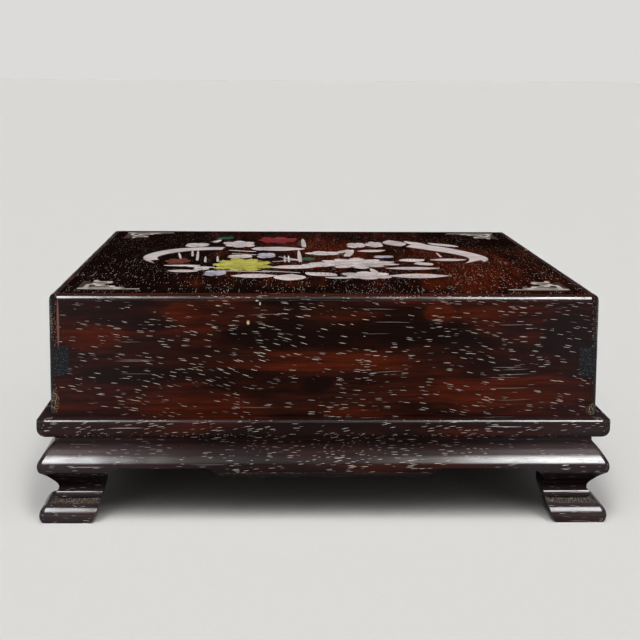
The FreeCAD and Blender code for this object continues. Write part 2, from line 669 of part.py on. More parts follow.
def inlays():
    """The flower spray inside an open ring of shell, and a pierced scroll in each corner of the panel."""
    proud, proud_peony = length_of("Sizes.inlay_proud"), length_of("Sizes.peony_proud")
    made = []
    corner_x = length_of("Sizes.lid_width / 2 - Sizes.scroll_inset_x")
    corner_y = length_of("Sizes.lid_depth / 2 - Sizes.scroll_inset_y")
    arm_x, arm_y = length_of("Sizes.scroll_arm_x"), length_of("Sizes.scroll_arm_y")
    for name, side_x, side_y in (("front_left", -1, -1), ("front_right", 1, -1),
                                 ("back_left", -1, 1), ("back_right", 1, 1)):
        wires = []
        for wire in corner_scroll(arm_x, arm_y):
            mirrored = wire.copy()
            if side_x > 0:
                mirrored = mirrored.mirror(Vector(0, 0, 0), Vector(1, 0, 0))
            if side_y > 0:
                mirrored = mirrored.mirror(Vector(0, 0, 0), Vector(0, 1, 0))
            mirrored.translate(Vector(side_x * corner_x, side_y * corner_y, 0))
            wires.append(mirrored)
        made.append(inlay("corner_scroll_" + name, [wires], proud))

    left_horn = sickle([(-51.2, -19), (-56, -6.5), (-53.2, 14.5), (-45, 26), (-30.5, 29.5)],
                       [(-31.5, 21), (-42.2, 17.2), (-49, 8), (-51.6, -2), (-50.6, -8.5)], (-53.2, -10.5))
    right_horn = sickle([(53.4, -12.5), (56, -4), (52.4, 15), (45.2, 31.5), (36, 45)],
                        [(32, 33), (38, 23.5), (45.8, 11), (49.4, 0), (48.6, -10), (46, -18)], (52.8, -8))
    made.append(inlay("shell_ring_left", [[left_horn]], proud))
    made.append(inlay("shell_ring_right", [[right_horn]], proud))
    made.append(inlay("white_peony", [[scallop(12.3, -15.8, 12.4, 13.8, 11, 0.09)]], proud_peony))
    made.append(inlay("yellow_flower", [[scallop(-23.9, -20.5, 8.6, 16.5, 9, 0.12)]], proud_peony))
    made.append(inlay("red_flower", [[scallop(-12.2, 55.5, 6.8, 10, 7, 0.12)]], proud))
    made.append(inlay("red_bud", [[scallop(-44.7, -11.9, 3.6, 7.2, 5, 0.14, 90)]], proud))

    # loose petals of white and of lavender shell: place, half-lengths and number of lobes
    white = ((13.8, -47.5, 5.6, 8.5, 5), (-36.2, -31, 2.4, 4.4, 4), (2.7, 12.5, 5.2, 6, 5),
             (-40.6, 38, 4, 6.5, 4), (-26, 41, 5.2, 11, 6), (-25, 2.2, 4, 5, 4), (15, 38.5, 3.2, 8, 4),
             (21.6, 41, 2.8, 9.5, 5))
    lavender = ((-31.6, -42.2, 3.2, 6.6, 4), (-16.4, 5.5, 2.9, 7.6, 4), (22.2, 2.6, 3.2, 3.4, 4))
    for label, petals in (("shell_petals", white), ("lavender_petals", lavender)):
        wires = [[scallop(x, y, half_x, half_y, lobes, 0.1)] for x, y, half_x, half_y, lobes in petals]
        if petals is white:
            wires.append([blade(-12.5, 25.8, 18, 12, -2)])
        made.append(inlay(label, wires, proud))

    # leaves and stems: place, length, width, turn and sideways bend
    shell = ((-7.6, -26.6, 14, 8.5, 10), (29, -29.5, 15.5, 6.5, 2), (29, -48.3, 17, 9.5, 2),
             (0.2, -44.8, 10, 7, 140), (-9.3, -52.5, 14, 8.5, 265), (-19.8, -49, 12.5, 8.5, 183),
             (-41.6, -37.6, 9, 6, -5), (-42.6, -23.6, 11, 3.6, 2), (5.2, -53.2, 8, 4, -6),
             (42.6, -6, 11.5, 6.5, 3), (30.6, -7.6, 9, 8, 25), (33.6, -17.4, 9, 5.5, 110),
             (19.2, 20, 10, 6.5, 20), (45.8, 39.8, 15, 5, -52), (29, 45.5, 20, 7.5, 98))
    green = ((-2.9, -4.4, 9, 4.4, 92), (-31.4, 61.5, 9, 5, 60))
    stems = ((11.4, 12.4, 20, 2.4, 82), (-7.6, -6, 11, 1.6, 120), (-34, 51, 10, 2, 80),
             (-20.6, -38.9, 11, 1.6, -10), (-3.4, 45, 28, 1.4, 90))
    for label, blades, bend in (("shell_leaves", shell, 0.6), ("green_leaves", green, 0.5),
                                ("shell_stems", stems, 1.5)):
        wires = [[blade(x, y, length, width, turn, bend)] for x, y, length, width, turn in blades]
        made.append(inlay(label, wires, proud))
    return made


def lid_top_panel(seat, pieces):
    """The panel that fills the lid's top, with a shallow pocket for each inlaid piece."""
    together = doc.addObject("Part::MultiFuse", "InlayShapes")
    together.Shapes = pieces
    panel = joined("Cut", "lid_top_panel", seat, together)
    panel.Label = "lid_top_panel"


# ---------------------------------------------------------------- putting it together

blank = lid_blank()
bars = (tongue_bar("LeftTongue", -1), tongue_bar("RightTongue", 1))
seat = lid_panel_seat()
end_board("lid_front_board", -1, blank, bars, seat)
end_board("lid_back_board", 1, blank, bars, seat)
side_board("lid_left_board", -1, blank, bars[0], seat)
side_board("lid_right_board", 1, blank, bars[1], seat)
inlay_pieces = inlays()
lid_top_panel(seat, inlay_pieces)

wedges = mitre_wedges()
plinth = plinth_blank()
frame = frame_blank()
for side, wedge in wedges.items():
    rail = joined("Common", side + "_foot_rail", plinth, wedge)
    rail.Label = side + "_foot_rail"
    member = joined("Common", side + "_frame_rail", frame, wedge)
    member.Label = side + "_frame_rail"
tray_board()
inkstone()
ink_stick()
doc.recompute()

NODES = ["lid_top_panel", "lid_front_board", "lid_back_board", "lid_left_board", "lid_right_board"]
NODES += [piece.Label for piece in inlay_pieces]
NODES += [side + "_frame_rail" for side in wedges] + [side + "_foot_rail" for side in wedges]
NODES += ["tray_board", "inkstone", "ink_stick"]

for item in doc.Objects:
    if "Invalid" in item.State or "Error" in item.State:
        raise RuntimeError("%s did not build: %s" % (item.Label, item.State))
    if item.TypeId == "PartDesign::Pocket" and item.Shape.Volume > item.BaseFeature.Shape.Volume - 0.1:
        raise RuntimeError("%s cuts nothing" % item.Label)

os.makedirs("parts", exist_ok=True)
for label in NODES:
    shape = doc.getObjectsByLabel(label)[0].Shape
    if shape.isNull() or not shape.isValid():
        raise RuntimeError(label + " has no sound shape")
    shape.exportStep(os.path.join("parts", label + ".step"))
    print("%-28s %d solid(s) %10.1f mm3" % (label, len(shape.Solids), shape.Volume))
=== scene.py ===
import json
import math
from functools import cache

import bmesh
import bpy
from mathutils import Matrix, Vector

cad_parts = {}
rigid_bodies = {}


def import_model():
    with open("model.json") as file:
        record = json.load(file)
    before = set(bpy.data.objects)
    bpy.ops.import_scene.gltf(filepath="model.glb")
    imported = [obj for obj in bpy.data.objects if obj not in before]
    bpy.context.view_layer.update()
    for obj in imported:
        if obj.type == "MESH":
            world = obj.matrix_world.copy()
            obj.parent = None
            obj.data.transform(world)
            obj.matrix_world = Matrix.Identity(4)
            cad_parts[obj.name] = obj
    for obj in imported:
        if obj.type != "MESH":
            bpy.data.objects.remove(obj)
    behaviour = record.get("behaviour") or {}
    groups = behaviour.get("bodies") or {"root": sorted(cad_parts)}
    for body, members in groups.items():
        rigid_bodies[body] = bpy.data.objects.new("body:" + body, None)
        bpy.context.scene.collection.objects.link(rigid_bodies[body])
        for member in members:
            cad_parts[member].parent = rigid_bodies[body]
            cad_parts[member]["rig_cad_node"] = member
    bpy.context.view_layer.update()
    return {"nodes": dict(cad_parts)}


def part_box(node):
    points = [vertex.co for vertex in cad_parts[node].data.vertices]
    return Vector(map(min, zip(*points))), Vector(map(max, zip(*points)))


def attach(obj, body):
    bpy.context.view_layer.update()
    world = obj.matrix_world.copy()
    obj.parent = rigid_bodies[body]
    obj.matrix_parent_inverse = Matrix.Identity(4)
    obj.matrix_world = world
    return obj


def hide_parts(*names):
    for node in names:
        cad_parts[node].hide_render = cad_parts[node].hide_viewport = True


# A scholar's box of waxed rosewood for one inkstone and one stick of ink: a moulded base on four curled
# feet, and a deep lift-off lid whose top is let in with mother-of-pearl and coloured stone.
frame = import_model()
bpy.ops.object.select_all(action="DESELECT")
nodes = frame["nodes"]
MM = 0.001


# ---------------------------------------------------------------- building blocks for finishes
# Every finish is one Principled shader, and short chains of nodes feed its sockets. Each function here adds
# a node to a tree and hands back the output that the next one joins to.
def node(tree, kind, sockets=None, **settings):
    """A new shader node: settings are its options, sockets its inputs, each a value or an output to join."""
    made = tree.nodes.new("ShaderNode" + kind)
    for option, value in settings.items():
        setattr(made, option, value)
    for socket, value in (sockets or {}).items():
        if isinstance(value, bpy.types.NodeSocket):
            tree.links.new(value, made.inputs[socket])
        else:
            made.inputs[socket].default_value = value
    return made


def math_of(tree, operation, first, second=0.0, clamp=False):
    """One step of arithmetic, named as Blender names it."""
    return node(tree, "Math", {0: first, 1: second}, operation=operation, use_clamp=clamp).outputs[0]


def times(tree, first, second, clamp=False):
    return math_of(tree, "MULTIPLY", first, second, clamp)


def distance(tree, value, middle):
    """How far a value is from a middle, either way."""
    return math_of(tree, "ABSOLUTE", math_of(tree, "SUBTRACT", value, middle))


def ranged(tree, value, low, high, to_low=0.0, to_high=1.0):
    """value run smoothly from to_low at low to to_high at high."""
    sockets = {"Value": value, "From Min": low, "From Max": high, "To Min": to_low, "To Max": to_high}
    return node(tree, "MapRange", sockets, interpolation_type="SMOOTHSTEP").outputs["Result"]


def mixed(tree, share, first, second, blend="MIX"):
    """The colour between two, by a share that may be a number or an output."""
    def colour(value):
        return value if isinstance(value, bpy.types.NodeSocket) else (*value[:3], 1)

    sockets = {0: share, 6: colour(first), 7: colour(second)}
    return node(tree, "Mix", sockets, data_type="RGBA", blend_type=blend).outputs[2]


def grey(value):
    return (value, value, value, 1)


def clouds(tree, spot, scale, detail, distortion=0.0):
    """Soft noise from 0 to 1; scale is how many of its clouds lie in one unit of spot."""
    sockets = {"Vector": spot, "Scale": scale, "Detail": detail, "Distortion": distortion}
    return node(tree, "TexNoise", sockets).outputs["Fac"]


def finish_named(name, colour, roughness):
    """A new material with its Principled shader, and the colour that a viewport or a preview shows."""
    material = bpy.data.materials.new(name)
    material.use_nodes = True
    material.diffuse_color = colour
    shader = material.node_tree.nodes["Principled BSDF"]
    shader.inputs["Base Color"].default_value = colour
    shader.inputs["Roughness"].default_value = roughness
    return material, material.node_tree, shader


# ---------------------------------------------------------------- the view
# The box is looked at almost level with its lid, from a little left of its middle, through a long lens.
# Angles are in radians.
VIEW_POINT = Vector((-14.607, -514.977, 121.216)) * MM
LOOK_DOWN, TURN_RIGHT, LEAN = 0.1519, 0.0299, 0.0063
FOCAL_LENGTH_IN_PIXELS, PICTURE_WIDTH = 1583, 640
FILM_WIDTH = 36

bpy.ops.object.camera_add(location=VIEW_POINT, rotation=(math.pi / 2 - LOOK_DOWN, -LEAN, -TURN_RIGHT))
camera = bpy.context.object
camera.name = "view"
camera.data.sensor_width = FILM_WIDTH
camera.data.lens = FILM_WIDTH * FOCAL_LENGTH_IN_PIXELS / PICTURE_WIDTH
camera.data.clip_start = 0.01
camera.data.clip_end = 200
bpy.context.scene.camera = camera
bpy.context.scene.view_settings.view_transform = "Standard"


# ---------------------------------------------------------------- the table and the lamps
# A pale matt table runs back to a low pale horizon. Two long strip lamps stand in front and lean back over
# the box, one each side, so that every rounded arris carries a highlight towards its ends, and a wide one
# fills in from the front.
TABLE_COLOUR = (0.74, 0.735, 0.72, 1)
TABLE_SIZE = 120
FILL_DIRECTION = Vector((0.0, -0.64, 0.77))
FILL_ENERGY, FILL_DEGREES_ACROSS = 1.06, 100
FILL_COLOUR = (1.0, 0.985, 0.965)

bpy.ops.mesh.primitive_plane_add(size=TABLE_SIZE)
table = bpy.context.object
table.name = "table"
table_finish, tree, shader = finish_named("pale_table", TABLE_COLOUR, 0.9)
shader.inputs["Specular IOR Level"].default_value = 0.1
mottle = clouds(tree, node(tree, "TexCoord").outputs["Object"], 900, 3)
tone = node(tree, "MapRange", {"Value": mottle, "To Min": 0.97, "To Max": 1.03}).outputs["Result"]
tree.links.new(mixed(tree, 1.0, TABLE_COLOUR, tone, "MULTIPLY"), shader.inputs["Base Color"])
table.data.materials.append(table_finish)

bpy.ops.object.light_add(type="SUN", rotation=FILL_DIRECTION.to_track_quat("Z", "Y").to_euler())
fill = bpy.context.object
fill.name = "lamp_front_fill"
fill.data.energy = FILL_ENERGY
fill.data.angle = math.radians(FILL_DEGREES_ACROSS)
fill.data.color = FILL_COLOUR
fill.visible_glossy = False

# A strip is placed by the direction towards it, as x, y and z of an arrow of length 1: where on x it starts,
# is full, begins to fade and is gone, the same on y, and the least z. The sky's colour goes by z alone.
LEFT_STRIP = (-0.30, -0.22, -0.155, -0.085)
RIGHT_STRIP = (0.095, 0.185, 0.215, 0.29)
STRIP_RUN = (-0.93, -0.66, -0.36, -0.14)
STRIP_FOOT = 0.3
STRIP_STRENGTH = 16.0
HORIZON = ((0.050, (0.715, 0.708, 0.694, 1)), (0.062, (0.009, 0.009, 0.010, 1)))


def within(tree, value, limits):
    """0 outside the four limits and 1 between the inner two, soft in between."""
    start, full, fading, gone = limits
    return times(tree, ranged(tree, value, start, full), ranged(tree, value, gone, fading))


world = bpy.data.worlds.new("studio")
bpy.context.scene.world = world
world.use_nodes = True
tree = world.node_tree
aim = node(tree, "SeparateXYZ", {0: node(tree, "TexCoord").outputs["Generated"]})
left = within(tree, aim.outputs["X"], LEFT_STRIP)
right = within(tree, aim.outputs["X"], RIGHT_STRIP)
strips = times(tree, math_of(tree, "ADD", left, right), within(tree, aim.outputs["Y"], STRIP_RUN))
strips = times(tree, strips, math_of(tree, "GREATER_THAN", aim.outputs["Z"], STRIP_FOOT))
fade = node(tree, "ValToRGB", {"Fac": aim.outputs["Z"]})
fade.color_ramp.interpolation = "EASE"
for element, (height, colour) in zip(fade.color_ramp.elements, HORIZON):
    element.position = height
    element.color = colour
light = mixed(tree, strips, fade.outputs["Color"], grey(STRIP_STRENGTH))
tree.links.new(light, tree.nodes["Background"].inputs["Color"])


# ---------------------------------------------------------------- rosewood
# The wood of every board: red and black zones, stripes and fibres under wax, with open pores that pale wax
# and dust have filled. Wear, dust and the board's own marks lie on top, and so do painted shade, painted
# light, a painted grey sheen and a painted highlight.
BLACK_BROWN = (0.0042, 0.0020, 0.0016)
WARM_BROWN = (0.019, 0.0053, 0.0034)
RED_BROWN = (0.064, 0.0098, 0.0034)
PORE_DUST = (0.92, 0.87, 0.80)
GROOVE_DUST = (0.42, 0.34, 0.22)
# painted sheen: a mauve grey laid over the wood, most towards a board's ends, stands for the lamps'
# reflection
PAINTED_END_SHEEN = (0.046, 0.037, 0.043)
END_GRAIN = (0.013, 0.014, 0.016)
END_PORE = (0.16, 0.16, 0.165)
DUST_ROUGHNESS, WAX_IOR, UNRUBBED = 0.75, 1.9, 0.04


class Board:
    """Where a point lies on one board, and how the grain runs through it there.

    along, side and level are places on the board, and from_middle is how far along it a point is from its
    middle. upward and endward say how much a face looks up or towards the board's ends. Lengths of grain are
    given in mm.
    """

    def __init__(self, tree, grain, place, tilt, wave, flat):
        self.tree = tree
        self.flat = flat
        coordinates = node(tree, "TexCoord")
        self.spot = coordinates.outputs["Object"]
        on_board = node(tree, "SeparateXYZ", {0: self.spot})
        facing = node(tree, "SeparateXYZ", {0: coordinates.outputs["Normal"]})
        length_axis = "X" if grain == "x" else "Y"
        self.along = on_board.outputs[length_axis]
        self.side = on_board.outputs["X" if flat else "Z"]
        self.level = on_board.outputs["Z"]
        self.from_middle = math_of(tree, "ABSOLUTE", self.along)
        self.upward = facing.outputs["Z"]
        self.endward = math_of(tree, "ABSOLUTE", facing.outputs[length_axis])

        # the grain wanders: a slow noise pushes it up and down, or sideways in a flat board
        turn = (0, 0, 0) if grain == "x" else (0, 0, math.pi / 2)
        cut = {"Vector": self.spot, "Location": place, "Rotation": turn}
        self.cut = node(tree, "Mapping", cut).outputs[0]
        slow = node(tree, "Mapping", {"Vector": self.cut, "Scale": (22, 34, 34)}).outputs[0]
        noise = node(tree, "TexNoise", {"Vector": slow, "Scale": 1, "Detail": 1.5}).outputs["Color"]
        wander = node(tree, "VectorMath", {0: noise, 1: (0.5, 0.5, 0.5)}, operation="SUBTRACT")
        self.wander = wander.outputs[0]
        self.figure_lie = self.pushed(0.004 * wave)
        tilted = {"Vector": self.pushed(0.010 * wave), "Rotation": (0, tilt, 0)}
        self.pore_lie = node(tree, "Mapping", tilted).outputs[0]
        self.stripes = self.noise((22, 1.0), 4.0, (3, 0, 0))
        self.fibres = self.noise((6, 0.3), 2.0, (7, 0, 0))

    def pushed(self, amount):
        """The cut's coordinates with the grain pushed to and fro by half this many metres at most."""
        reach = (0.0, amount, 0.0) if self.flat else (0.0, 0.0, amount)
        push = node(self.tree, "VectorMath", {0: self.wander, 1: reach}, operation="MULTIPLY").outputs[0]
        return node(self.tree, "VectorMath", {0: self.cut, 1: push}, operation="ADD").outputs[0]

    def stretched(self, size, offset, lie):
        """Coordinates in which a cell of this length and thickness is one unit."""
        length, thick = size
        scale = (1000 / length, 1000 / thick, 1000 / thick)
        return node(self.tree, "Mapping", {"Vector": lie, "Scale": scale, "Location": offset}).outputs[0]

    def noise(self, size, detail, offset=(0, 0, 0)):
        """Clouds drawn out along the grain."""
        return clouds(self.tree, self.stretched(size, offset, self.figure_lie), 1, detail)

    def spread(self, middle, up, half_length, half_height):
        """0 at the middle of a mark, 1 on the ellipse round it."""
        off_along = math_of(self.tree, "SUBTRACT", self.along, middle * MM)
        off_along = math_of(self.tree, "DIVIDE", off_along, half_length * MM)
        off_side = math_of(self.tree, "SUBTRACT", self.side, up * MM)
        off_side = math_of(self.tree, "DIVIDE", off_side, half_height * MM)
        return math_of(self.tree, "ADD", math_of(self.tree, "POWER", off_along, 2),
                       math_of(self.tree, "POWER", off_side, 2))


def heartwood(board, redness, figure, bloom_and_sheen):
    """The wood's colour: slow red and dark zones with the board's own marks, stripes and fibres, and a grey
    sheen painted on, most towards the ends, for the lamps' reflection.
    """
    tree = board.tree
    zones = board.noise((40, 4.5), 4.0)
    shadows = board.noise((26, 7), 4.0, (5, 8, 2))
    for *mark, amount in figure:
        strength = ranged(tree, board.spread(*mark), 1.6, 0.0, 0.0, amount)
        zones = math_of(tree, "ADD", zones, strength)
        shadows = math_of(tree, "ADD", shadows, strength)
    red = ranged(tree, zones, 0.56 - 0.3 * redness, 0.90 - 0.3 * redness)
    body = mixed(tree, red, WARM_BROWN, RED_BROWN)
    body = mixed(tree, ranged(tree, shadows, 0.56, 0.36, 0.0, 0.8), body, BLACK_BROWN)
    body = mixed(tree, ranged(tree, board.stripes, 0.60, 0.36, 0.0, 0.5), body, BLACK_BROWN)
    body = mixed(tree, 1.0, body, ranged(tree, board.fibres, 0.35, 0.75, 0.8, 1.3), "MULTIPLY")
    # painted sheen: towards the ends the wood turns a mauve grey, for the lamps' reflection there
    ends = ranged(tree, board.from_middle, 0.025, 0.080, *bloom_and_sheen)
    patchy = times(tree, ends, ranged(tree, shadows, 0.3, 0.7, 1.3, 0.6), clamp=True)
    return mixed(tree, patchy, body, PAINTED_END_SHEEN)


def pore_layer(board, size, radius, offset, lie, kept, filled):
    """Long thin cells, some with a pore: where the pores are, and how full of pale wax each of them is.

    size is a cell's, radius a pore's as a share of it, and kept the share of cells that have one. filled is
    the share of pores that aren't full, how full the emptiest is, and how full the others are.
    """
    tree = board.tree
    cells = node(tree, "TexVoronoi", {"Vector": board.stretched(size, offset, lie), "Scale": 1})
    lot = node(tree, "SeparateColor", {0: cells.outputs["Color"]})
    shape = ranged(tree, cells.outputs["Distance"], radius, 0.72 * radius)
    pores = times(tree, shape, math_of(tree, "LESS_THAN", lot.outputs[0], kept))
    return pores, times(tree, pores, ranged(tree, lot.outputs[1], 0.0, *filled))


def open_pores(board, openness):
    """Short pores in drifts and a few long ones: where they are, and how full."""
    tree = board.tree
    drift = ranged(tree, board.noise((26, 7), 2.0, (0, 5, 0)), 0.28, 0.66)
    if not board.flat:
        drift = times(tree, drift, ranged(tree, board.upward, 0.97, 0.75))
    short, short_filling = pore_layer(board, (6.0, 0.205), 0.19, (0, 0, 0), board.pore_lie,
                                      times(tree, drift, 1.28 * openness), (0.5, 0.35, 1.0))
    long, long_filling = pore_layer(board, (34, 0.38), 0.16, (11, 3, 5), board.figure_lie,
                                    0.17 * openness, (0.7, 0.15, 0.75))
    filling = math_of(tree, "MAXIMUM", short_filling, long_filling)
    # painted shade: in a flat board the pale filling of the pores fades from the front towards the back
    if board.flat:
        filling = times(tree, filling, ranged(tree, board.along, -0.055, 0.01, 1.0, 0.35))
    return math_of(tree, "MAXIMUM", short, long), filling


def with_end_grain(board, body):
    """End grain drinks the wax: blue-black, with the pores as dots."""
    tree = board.tree
    dots = node(tree, "TexVoronoi", {"Vector": board.spot, "Scale": 2300}).outputs["Distance"]
    colour = mixed(tree, ranged(tree, dots, 0.34, 0.2, 0.0, 0.35), END_GRAIN, END_PORE)
    return mixed(tree, ranged(tree, board.endward, 0.30, 0.80), body, colour)


def dust_on(board, dust, crumbled):
    """How thick crumbs of dust lie, on the levels of dust and on the marks of crumbled."""
    tree = board.tree
    crumbs = clouds(tree, board.spot, 3600, 2)
    settled = 0.0
    for low, high in dust:
        reach = (high - low) / 2 * MM
        groove = ranged(tree, distance(tree, board.level, (low + high) / 2 * MM), reach, 0.3 * reach)
        settled = math_of(tree, "MAXIMUM", settled, times(tree, groove, ranged(tree, crumbs, 0.53, 0.66)))
    for mark in crumbled:
        patch = ranged(tree, board.spread(*mark), 1.0, 0.3)
        settled = math_of(tree, "MAXIMUM", settled, times(tree, patch, ranged(tree, crumbs, 0.54, 0.66)))
    return settled


def with_painted_light_and_pits(board, body, painted_light_bands, pits_and_painted_highlights):
    """body with shade and light painted on its bands of levels, and with its pits and painted highlights."""
    tree = board.tree
    for low, high, middle_share, end_share, colour in painted_light_bands:
        reach = (high - low) / 2 * MM
        share = ranged(tree, distance(tree, board.level, (low + high) / 2 * MM), reach, reach / 2)
        share = times(tree, share, ranged(tree, board.from_middle, 0.030, 0.078, middle_share, end_share))
        share = times(tree, share, ranged(tree, board.stripes, 0.35, 0.60, 0.80, 1.05), clamp=True)
        body = mixed(tree, share, body, colour)
    for *mark, colour in pits_and_painted_highlights:
        body = mixed(tree, ranged(tree, board.spread(*mark), 1.1, 0.6), body, colour)
    return body


def burnish(board, filling, rubbed):
    """How far hands and cloth have burnished the rounded arrises that face part upwards."""
    tree = board.tree
    shine = times(tree, ranged(tree, board.upward, 0.03, 0.14), ranged(tree, board.upward, 0.997, 0.96))
    shine = times(tree, shine, math_of(tree, "SUBTRACT", 1.0, filling))
    if rubbed:
        bright = UNRUBBED
        for middle, reach, share in rubbed:
            off = distance(tree, board.level, middle * MM)
            glow = ranged(tree, off, reach * MM, 0.2 * reach * MM, 0.0, share)
            bright = math_of(tree, "MAXIMUM", bright, glow)
        shine = times(tree, shine, bright)
    return times(tree, shine, ranged(tree, board.fibres, 0.30, 0.70, 0.72, 1.0))


def wood_relief(board, pores, planing):
    """The hand-planed face is not quite flat, fibres stand up a little and pores sink in."""
    tree = board.tree
    height = times(tree, clouds(tree, board.spot, 55, 1), 0.30 * planing)
    height = math_of(tree, "ADD", height, times(tree, board.fibres, 0.022 * planing))
    height = math_of(tree, "SUBTRACT", height, times(tree, pores, 0.05))
    return node(tree, "Bump", {"Height": height, "Strength": 0.8, "Distance": 0.001}).outputs[0]


def rosewood(name, grain, place, tilt=0.0, redness=0.5, openness=1.0, wave=1.0, dust=(), painted_light_bands=(), rubbed=(),
             polish=0.15, gloss=0.22, planing=1.0, figure=(), flat=False, bloom_and_sheen=(0.0, 0.0), pits_and_painted_highlights=(),
             crumbled=()):
    """Waxed rosewood cut with its grain along x or y; its levels and places are in mm.

    place moves the cut through the tree and tilt turns the pores on the face. redness, openness and wave say
    how red, how full of pores and how wild the wood is, gloss how rough its wax, polish how rough its rubbed
    arrises and planing how uneven its face. The sheen shares say how much grey is painted on its middle and
    on its ends as painted sheen, for the lamps' reflection. A flat board lies down: its marks are across it
    and not up, and its grain wanders sideways.

    dust lists levels, low and high, where pale dust has settled. The bands are levels where shade and light
    are painted: low, high, its share on the middle and on the ends, and the colour. rubbed lists the levels,
    middle, reach and share, that hands have rubbed bright, if not every rounded arris is.

    figure lists the board's own marks: along, up, half length, half height, and how much redder, or darker if
    below zero, the wood is there. The pits are such marks with the colour that fills them, and with them go
    painted highlights, such marks with the highlight's colour. crumbled are such marks with crumbs of dust.
    """
    material, tree, shader = finish_named(name, (*WARM_BROWN, 1), gloss)
    board = Board(tree, grain, place, tilt, wave, flat)
    pores, filling = open_pores(board, openness)
    settled = dust_on(board, dust, crumbled)
    body = heartwood(board, redness, figure, bloom_and_sheen)
    body = mixed(tree, pores, body, BLACK_BROWN)
    body = mixed(tree, filling, body, PORE_DUST)
    body = with_end_grain(board, body)
    body = mixed(tree, settled, body, GROOVE_DUST)
    body = with_painted_light_and_pits(board, body, painted_light_bands, pits_and_painted_highlights)
    tree.links.new(body, shader.inputs["Base Color"])

    # wax shines a little unevenly, and dust not at all
    dull = math_of(tree, "MAXIMUM", filling, settled)
    sheen = ranged(tree, board.noise((30, 5), 3.0, (1, 9, 4)), 0.3, 0.7, gloss - 0.05, gloss + 0.07)
    tree.links.new(mixed(tree, dull, sheen, grey(DUST_ROUGHNESS)), shader.inputs["Roughness"])
    shader.inputs["Specular IOR Level"].default_value = 0.0 if flat else 0.02
    tree.links.new(burnish(board, dull, rubbed), shader.inputs["Coat Weight"])
    shader.inputs["Coat Roughness"].default_value = polish
    shader.inputs["Coat IOR"].default_value = WAX_IOR
    bump = wood_relief(board, pores, planing)
    tree.links.new(bump, shader.inputs["Normal"])
    tree.links.new(bump, shader.inputs["Coat Normal"])
    return material


def dress(name, material):
    """Gives a CAD node's mesh its material and leaves its shape as it is."""
    slots = nodes[name].data.materials
    slots.clear()
    slots.append(material)


# ---------------------------------------------------------------- foot rails
# Each side of the base is one board: waist, bulging apron and half a foot at each end, moulded, sawn out
# below and mitred to its neighbours. Bulge, bead and toe are rubbed bright, and pale dust lies in the
# hollow of the foot. The cove under the bulge is darkened almost to black as painted shade, the slope under
# the frame is a paler mauve as painted light, most towards the ends, and a grey sheen is painted on towards
# the ends for the lamps' reflection.
SIDES = (("front", "x"), ("right", "y"), ("back", "x"), ("left", "y"))
HOLLOW_DUST = ((4.9, 6.3),)
# painted shade: the cove is darkened almost to black; painted light: the slope is a paler mauve, most at the
# ends
PAINTED_COVE_SHADE, PAINTED_SLOPE_LIGHT = (7.9, 14.8, 0.9, 0.93, BLACK_BROWN), (18.2, 23.4, 0.10, 0.60, (0.098, 0.066, 0.068))
BULGE, BEAD, TOE = (17.6, 1.7, 0.85), (7.7, 1.0, 1.0), (3.4, 2.0, 0.6)
for number, (side, grain) in enumerate(SIDES):
    wood = rosewood(side + "_foot_rail_rosewood", grain, (0.31 * number, 0.05 * number, 0.11), tilt=0.03,
                    redness=0.22, openness=0.9, wave=0.8, dust=HOLLOW_DUST, painted_light_bands=(PAINTED_COVE_SHADE, PAINTED_SLOPE_LIGHT),
                    rubbed=(BULGE, BEAD, TOE), polish=0.12, planing=0.5, bloom_and_sheen=(0.10, 0.60))
    dress(side + "_foot_rail", wood)


# ---------------------------------------------------------------- moulded frame
# Four mitred members with a rounded nosing lie on the foot rails and carry the lid. Same rosewood, denser in
# open pores, glued down on the waist. Dust lies on the ledge by the lid's corners, and a grey sheen is
# painted on, most towards the ends, for the lamps' reflection.
LEDGE_DUST = ((-75.2, 29.2, 1.3, 0.7), (75.0, 29.2, 1.4, 0.7))
for number, (side, grain) in enumerate(SIDES):
    wood = rosewood(side + "_frame_rail_rosewood", grain, (0.17 * number + 0.5, 0.07 * number, 0.31),
                    tilt=0.10, redness=0.28, openness=1.3, wave=0.7, bloom_and_sheen=(0.06, 0.40), crumbled=LEDGE_DUST)
    dress(side + "_frame_rail", wood)


# ---------------------------------------------------------------- tray board
# One board fills the frame and stands up inside the lid as its locating rim. Bed, slot and finger notches
# are sunk into it by hand; it is planed and waxed but not polished.
dress("tray_board", rosewood("tray_rosewood", "y", (0.9, 0.4, 0.2), redness=0.7, openness=0.8,
                             gloss=0.38, flat=True))


# ---------------------------------------------------------------- inkstone
# A slab of fine purple-black slate, sawn square, with a grinding field that slopes into a well at the back.
# The outside is waxed, the field is rubbed to a silky grey, and ink has dried in the well.
FIELD_DEPTH, WELL_DEPTH = 2.2, 9.0
INKED_FROM, INKED_TO = FIELD_DEPTH + 1.6, FIELD_DEPTH + 2.4
SLATE_DARK, SLATE_PALE, SLATE_LAYER = (0.022, 0.019, 0.024), (0.052, 0.045, 0.050), (0.036, 0.040, 0.040)
MICA, RUBBED_SLATE, DRIED_INK = (0.20, 0.19, 0.17), (0.085, 0.080, 0.082), (0.004, 0.004, 0.0045)


